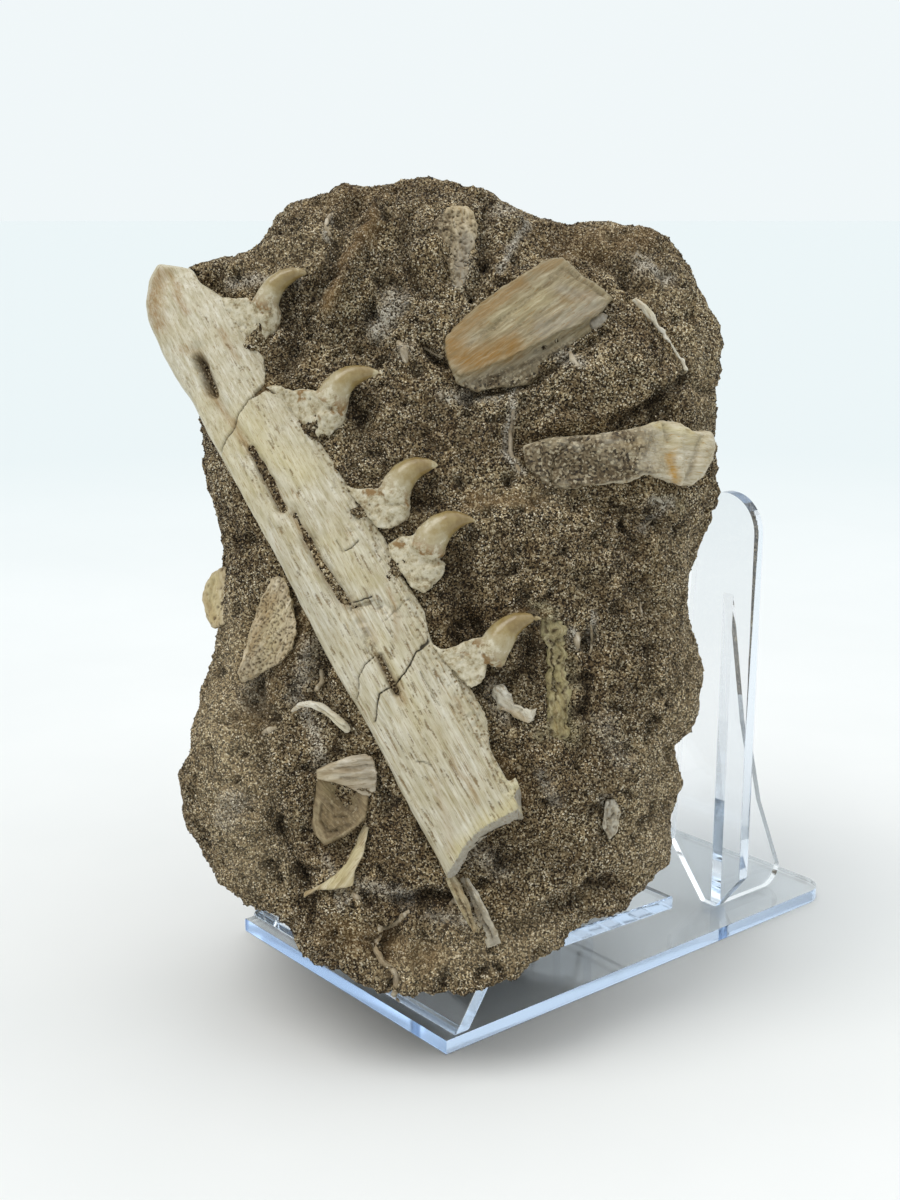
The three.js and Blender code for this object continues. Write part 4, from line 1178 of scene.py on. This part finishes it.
spongy = bone_finish("spongy_bone", ("a89779", "c2b293", "dacdb2", "9a8560"), "a2824d", "5d4a30", 0.75)
LEFT_LUMP_OUTLINE = [
    (276, 576, -0.6), (284, 580), (291, 598), (296, 625), (293, 648), (281, 662), (262, 673),
    (243, 682, -0.4), (238, 672, -0.4), (245, 653), (252, 628), (259, 604), (268, 586)]
left_lump = slab("porous_bone_left_worn", [(LEFT_LUMP_OUTLINE, 5.0, 0.3)], 0.00024, 3)
weather(left_lump, (0.5, -0.85), [
    ([(258, 625), (250, 668)], 9, 0.4)
], streaky=0.0, lumpy=0.4, pores=(0.00058, 0.5, 0.55, 1.0), ragged=0.35, sanded=[([(250, 665)], 40, 0.5)])
stain(left_lump, tan=[([(250, 650), (270, 600)], 10, 0.5)], yellow=[([(280, 610), (262, 670)], 14, 0.3)])
settle(left_lump, "porous_bone_left", spongy)

green_bone = bone_finish(
    "yellow_green_bone", ("988c64", "b4a97f", "d0c7a1", "6f6238"), "8a7440", "4e4226", 0.85)
RIGHT_BAND_OUTLINE = [
    (536, 603, -1.2), (547, 601), (557, 606), (561, 628), (564, 655), (567, 685, -0.4), (569, 712),
    (567, 736), (558, 744, -0.8), (545, 741, -0.8), (549, 718), (545, 690, -0.8), (550, 664),
    (545, 636, -0.8), (538, 616, -0.8)]
right_band = slab("porous_bone_right_worn", [(RIGHT_BAND_OUTLINE, 3.4, -0.5)], 0.00032, 2)
weather(right_band, (0.15, 1.0), [
    ([(558, 612), (568, 670), (572, 725)], 3.5, 1.0), ([(550, 640), (556, 700)], 3, -0.8)
], streaky=0.0, lumpy=1.3, pores=(0.001, 0.5, 0.8, 6.0), ragged=0.7,
    sanded=[([(556, 610), (562, 740)], 60, 0.5)])
stain(right_band, tan=[([(560, 700), (560, 735)], 10, 0.5)], yellow=[([(553, 615), (560, 720)], 12, 0.5)])
settle(right_band, "porous_bone_right", green_bone)

TOP_LUMP_OUTLINE = [
    (438, 216, -0.6), (452, 206), (466, 207), (476, 222), (475, 245), (470, 270), (461, 289), (453, 284),
    (449, 264), (440, 248, -0.6), (434, 230, -0.8)]
top_lump = slab("porous_bone_top_worn", [(TOP_LUMP_OUTLINE, 3.4, 0.0)], 0.00028, 3)
weather(top_lump, (0.2, 1.0), [
    ([(448, 210), (468, 212), (472, 225)], 3, 0.4)
], streaky=0.0, lumpy=0.5, pores=(0.0007, 0.5, 0.6, 2.0), ragged=0.5,
    sanded=[([(438, 225), (446, 270)], 24, 1.4), ([(462, 230), (462, 280)], 16, 0.35)])
stain(top_lump, grey=[([(466, 240), (460, 285)], 16, 0.8)])
settle(top_lump, "porous_bone_top", spongy)

white_bone = bone_finish("white_bone", ("cdc4ae", "dfd8c6", "ece7da", "b0a184"), "a88d60", "8f7a56", 0.7)
EDGE_RUN = [(634, 299, 0.55), (641, 305, 0.55), (652, 317, 0.5), (662, 331, 0.45), (672, 346, 0.4),
            (681, 360, 0.35), (686, 370, 0.3)]
thin_edge = even_skin("bone_edge_thin", tapered([[
    (x, y, lies_at(x, y) - 0.2, radius) for x, y, radius in EDGE_RUN]], 12), 0.00018)
weather(thin_edge, (0.6, 0.8), lumpy=0.35, ragged=0.35)
stain(thin_edge, tan=[([(634, 299), (640, 305)], 6, 0.5)])
settle(thin_edge, "bone_edge", white_bone)

BITS_OUTLINE = [
    (490, 697), (495, 688), (503, 686), (510, 695), (514, 704), (524, 711), (535, 710), (533, 719),
    (528, 724), (521, 715), (510, 712), (499, 711), (491, 705)]
bits = slab("bone_bits_broken", [(BITS_OUTLINE, 3.2, 0.7)], 0.00026, 1)
weather(bits, (0.8, 0.6), [
    ([(508, 696), (520, 712)], 3, -0.5), ([(497, 692), (502, 706)], 3, 0.3)
], streaky=0.16, lumpy=0.3, ragged=0.5)
stain(bits, tan=[([(500, 712), (528, 722)], 6, 0.7)])
settle(bits, "bone_bits", white_bone)

RIB_RUN = [(292, 711, 0.35), (300, 705, 0.6), (311, 703.5, 0.75), (322, 708, 0.8), (333, 716, 0.85),
           (342, 724, 0.95), (348, 731, 0.6)]
rib = even_skin("rib_splinter_thin", tapered([[
    (x, y, lies_at(x, y) - 0.35 * radius, radius) for x, y, radius in RIB_RUN]], 12), 0.00022)
weather(rib, (0.9, 0.4), [([(315, 706), (345, 728)], 1.5, -0.4)], streaky=0.12, lumpy=0.2)
stain(rib, tan=[([(292, 711), (302, 706)], 6, 0.5)], yellow=[([(320, 708), (345, 727)], 6, 0.3)])
settle(rib, "rib_splinter", white_bone)

CHIP_OUTLINE = [
    (207, 582), (214, 573), (225, 566), (230, 600), (226, 624), (214, 628), (206, 617), (203, 598)]
chip = slab("bone_chip_worn", [(CHIP_OUTLINE, 7.0, 0.5)], 0.00036, 5)
weather(chip, (0.2, 1.0), [
    ([(212, 580), (208, 612)], 3, -0.4)
], streaky=0.2, lumpy=0.5, pores=(0.0016, 0.4, 0.4, 7.0))
stain(chip, tan=[([(206, 600), (216, 625)], 8, 0.5)], yellow=[([(212, 580), (212, 620)], 16, 0.8)])
settle(chip, "bone_chip", spongy)

yellow_bone = bone_finish(
    "yellow_splinter", ("a89a78", "c2b593", "d8cfb4", "8a7450"), "94764a", "7b6440", 0.6)
SPLINTER_RUN = [
    (450, 877, 36.8, 1.0), (457, 890, 37.0, 1.15), (465, 908, 37.2, 1.05), (475, 931, 37.2, 0.5)]
yellow_splinter = even_skin("splinter_yellow_split", tapered([SPLINTER_RUN], 10), 0.00026)
weather(yellow_splinter, (0.45, 0.9), [
    ([(455, 888), (472, 925)], 1.4, -0.6)
], streaky=0.2, lumpy=0.12, ragged=0.1, sanded=[([(452, 880), (474, 930)], 20, 0.6)])
stain(yellow_splinter, tan=[([(455, 884), (474, 930)], 5, 0.8)],
      yellow=[([(451, 880), (474, 930)], 6, 0.3)])
settle(yellow_splinter, "splinter_yellow", yellow_bone)

WHITE_SPLINTER_OUTLINE = [
    (458, 878), (468, 879), (477, 892), (487, 912), (501, 943), (488, 948), (479, 930), (469, 904)]
white_splinter = slab("splinter_white_split", [(WHITE_SPLINTER_OUTLINE, 2.2, 0.2)], 0.00026, 2)
weather(white_splinter, (0.45, 0.9), [
    ([(466, 885), (492, 940)], 1.6, -0.9), ([(474, 890), (497, 938)], 1.4, 0.4),
    ([(462, 884), (486, 938)], 1.2, -0.6)
], streaky=0.25, lumpy=0.15, ragged=0.1, sanded=[([(462, 880), (494, 944)], 20, 0.55)])
stain(white_splinter, tan=[([(466, 886), (480, 922)], 6, 0.8)],
      grey=[([(474, 905), (496, 944)], 10, 0.6)])
settle(white_splinter, "splinter_white", white_bone)


# Loose tooth
# A small curved tooth that fell out of the jaw and lies on its side below it, its root end to
# the left. It is worn to a dull cream, with a flat flank and a sharp outer edge.
FALLEN_OUTLINE = [
    (370, 824), (367, 838), (363, 857), (355, 870), (353, 886), (338, 889), (316, 890), (304, 898),
    (304, 893), (319, 885), (335, 875), (347, 862), (355, 845), (360, 832), (364, 824)]
fallen = slab("loose_tooth_fallen", [(FALLEN_OUTLINE, 2.6, 0.4)], 0.00026, 5)
weather(fallen, (0.6, -0.8), [([(345, 878), (358, 850)], 5, 0.35)], streaky=0.05, lumpy=0.08)
stain(fallen, tan=[([(304, 895), (318, 889)], 6, 0.7), ([(366, 826), (362, 845)], 5, 0.5)],
      yellow=[([(330, 885), (358, 850)], 12, 0.6)])
settle(fallen, "loose_tooth", yellow_bone)


# Shells
# Broken shells in the same sand: a ribbed pale piece over a brown one with a rim of growth
# lines, a mottled flake, two curved edges at the foot of the block, and thin slivers.
shell_pale = bone_finish("pale_shell", ("a8977d", "c3b59c", "ded5c3", "8e7a5c"), "97805c", "86704e", 0.55)
shell_brown = bone_finish("brown_shell", ("70604a", "857456", "9e8c6b", "5b4b33"), "b3a27f", "4f4129", 0.7)

RIBBED_OUTLINE = [
    (335, 762), (350, 756), (366, 754), (374, 760), (377, 775), (376, 793), (366, 797), (352, 789),
    (338, 783), (317, 779), (316, 770)]
ribbed = slab("shell_upper_ribbed", [(RIBBED_OUTLINE, 3.0, 0.5)], 0.0003, 2)
weather(ribbed, (0.95, -0.15), [
    ([(338, 762), (372, 758)], 2.2, 0.5), ([(336, 768), (375, 765)], 2.0, -0.5),
    ([(334, 772), (376, 772)], 2.0, 0.5), ([(340, 778), (376, 779)], 2.0, -0.5),
    ([(350, 783), (375, 785)], 2.0, 0.4)
], streaky=0.15, lumpy=0.15)
stain(ribbed, tan=[([(340, 768), (370, 772)], 4, 0.5), ([(335, 765), (325, 775)], 5, 0.5)],
      grey=[([(360, 758), (374, 788)], 14, 0.3)])
settle(ribbed, "shell_upper", shell_pale)

RIMMED_OUTLINE = [
    (316, 776, -0.4), (330, 778, -0.5), (348, 784, -0.7), (368, 796, -0.6), (366, 816), (352, 831),
    (336, 840), (325, 844), (316, 835), (312, 822), (314, 798)]
rimmed = slab("shell_lower_rimmed", [(RIMMED_OUTLINE, 4.0, 0.4)], 0.00032, 3)
RIM = [(316, 806), (315, 822), (319, 834), (326, 840), (338, 837), (352, 829), (363, 817)]
weather(rimmed, (0.7, 0.7), [
    (RIM, 2.2, 0.7), ([(322, 804), (321, 820), (327, 832), (338, 831)], 1.8, -0.7),
    ([(326, 806), (327, 822), (334, 828), (350, 822)], 2.0, 0.5),
    ([(331, 804), (333, 818), (346, 818)], 1.8, -0.5), ([(335, 795), (352, 808)], 9, -0.5)
], streaky=0.08, lumpy=0.4, ragged=0.15, sanded=[([(340, 800), (340, 830)], 30, 0.4)])
stain(rimmed, tan=[(RIM, 3.5, 1.0), ([(319, 800), (319, 822), (327, 836)], 3, 0.9)],
      yellow=[([(330, 790), (350, 800)], 12, 0.25)])
settle(rimmed, "shell_lower", shell_brown)

FLAKE_OUTLINE = [(606, 801), (615, 797), (620, 812), (617, 831), (609, 840), (603, 827)]
flake = slab("mottled_flake_worn", [(FLAKE_OUTLINE, 2.4, 0.0)], 0.0003, 3)
weather(flake, (0.2, 1.0), [
    ([(606, 806), (610, 832)], 2, -0.5)
], lumpy=0.3, pores=(0.001, 0.5, 0.5, 3.0), ragged=0.15, sanded=[([(610, 820)], 60, 0.5)])
stain(flake, tan=[([(608, 830), (614, 838)], 5, 0.6)], grey=[([(610, 800), (612, 835)], 9, 0.6)])
settle(flake, "mottled_flake", white_bone)

# Thin shells lie on the rough skin of the block itself; a run is of x, y and radius
SHELL_STEP = 0.0002
EDGE_SHELLS = {
    "edge_shell_upper": [
        (379, 929, 0.4), (388, 926, 0.7), (397, 921, 0.8), (405, 915, 0.7), (409, 911, 0.4)],
    "edge_shell_lower": [
        (381, 934, 0.3), (377, 941, 0.55), (376, 950, 0.6), (383, 962, 0.65), (395, 973, 0.7),
        (397, 985, 0.7), (394, 994, 0.6), (399, 1001, 0.4)],
}
skin_tree = tree_of(stone)


def on_skin(run, sunk):
    """A run of x, y and radius laid on the block's skin, and sunk into it by some millimetres."""
    return [(x, y, height_seen(skin_tree, x, y, 25) - sunk, radius) for x, y, radius in run]


for node, run in EDGE_SHELLS.items():
    lip = even_skin(node + "_curved", tapered([on_skin(run, 0.1)], 12), SHELL_STEP)
    weather(lip, (0.4, 0.9), streaky=0.15, lumpy=0.3, ragged=0.2, sanded=[
        ([(388, 920), (386, 1000)], 60, 0.5)])
    stain(lip, tan=[([(380, 940), (378, 960), (397, 990)], 9, 1.0)])
    settle(lip, node, shell_pale)

SLIVERS = [
    [(331, 214, 0.3), (327, 220, 0.5), (326, 228, 0.55), (330, 236, 0.4)],
    [(640, 531, 0.2), (650, 521, 0.3), (660, 510, 0.3), (668, 502, 0.2)],
    [(589, 610, 0.2), (591, 625, 0.35), (592, 640, 0.35), (590, 656, 0.25)],
    [(578, 632, 0.5), (577, 640, 0.8), (578, 648, 0.4)],
    [(640, 602, 0.2), (641, 612, 0.3), (643, 620, 0.2)],
    [(570, 352, 0.4), (573, 360, 0.7), (579, 366, 0.4)],
    [(590, 326, 1.2), (598, 321, 1.4), (605, 317, 1.0)],
    [(518, 390, 0.45), (514, 410, 0.4), (510, 432, 0.4), (511, 455, 0.55), (520, 472, 0.35)],
    [(424, 348, 0.25), (432, 352, 0.4), (443, 358, 0.25)],
    [(316, 690, 0.4), (322, 682, 0.6), (321, 670, 0.5)],
    [(263, 733, 0.4), (270, 730, 0.8), (276, 728, 0.4)],
    [(450, 905, 0.5), (455, 900, 0.9), (462, 904, 0.5)],
    [(352, 893, 0.4), (356, 897, 0.7), (360, 899, 0.4)],
    [(398, 342, 0.5), (404, 350, 0.9), (406, 362, 0.5)],
]
slivers = even_skin("shell_slivers", tapered([on_skin(run, 0.15) for run in SLIVERS], 10), SHELL_STEP)
weather(slivers, (0.4, 0.9), streaky=0.05, lumpy=0.12, ragged=0.1,
        sanded=[([(450, 300), (560, 900)], 400, 0.4)])
stain(slivers, tan=[([(518, 390), (510, 432), (520, 472)], 8, 0.8)],
      grey=[([(590, 326), (605, 317)], 12, 1.0), ([(514, 400), (511, 460)], 10, 0.5)])
slivers.data.materials.append(shell_pale)
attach(slivers, "root")
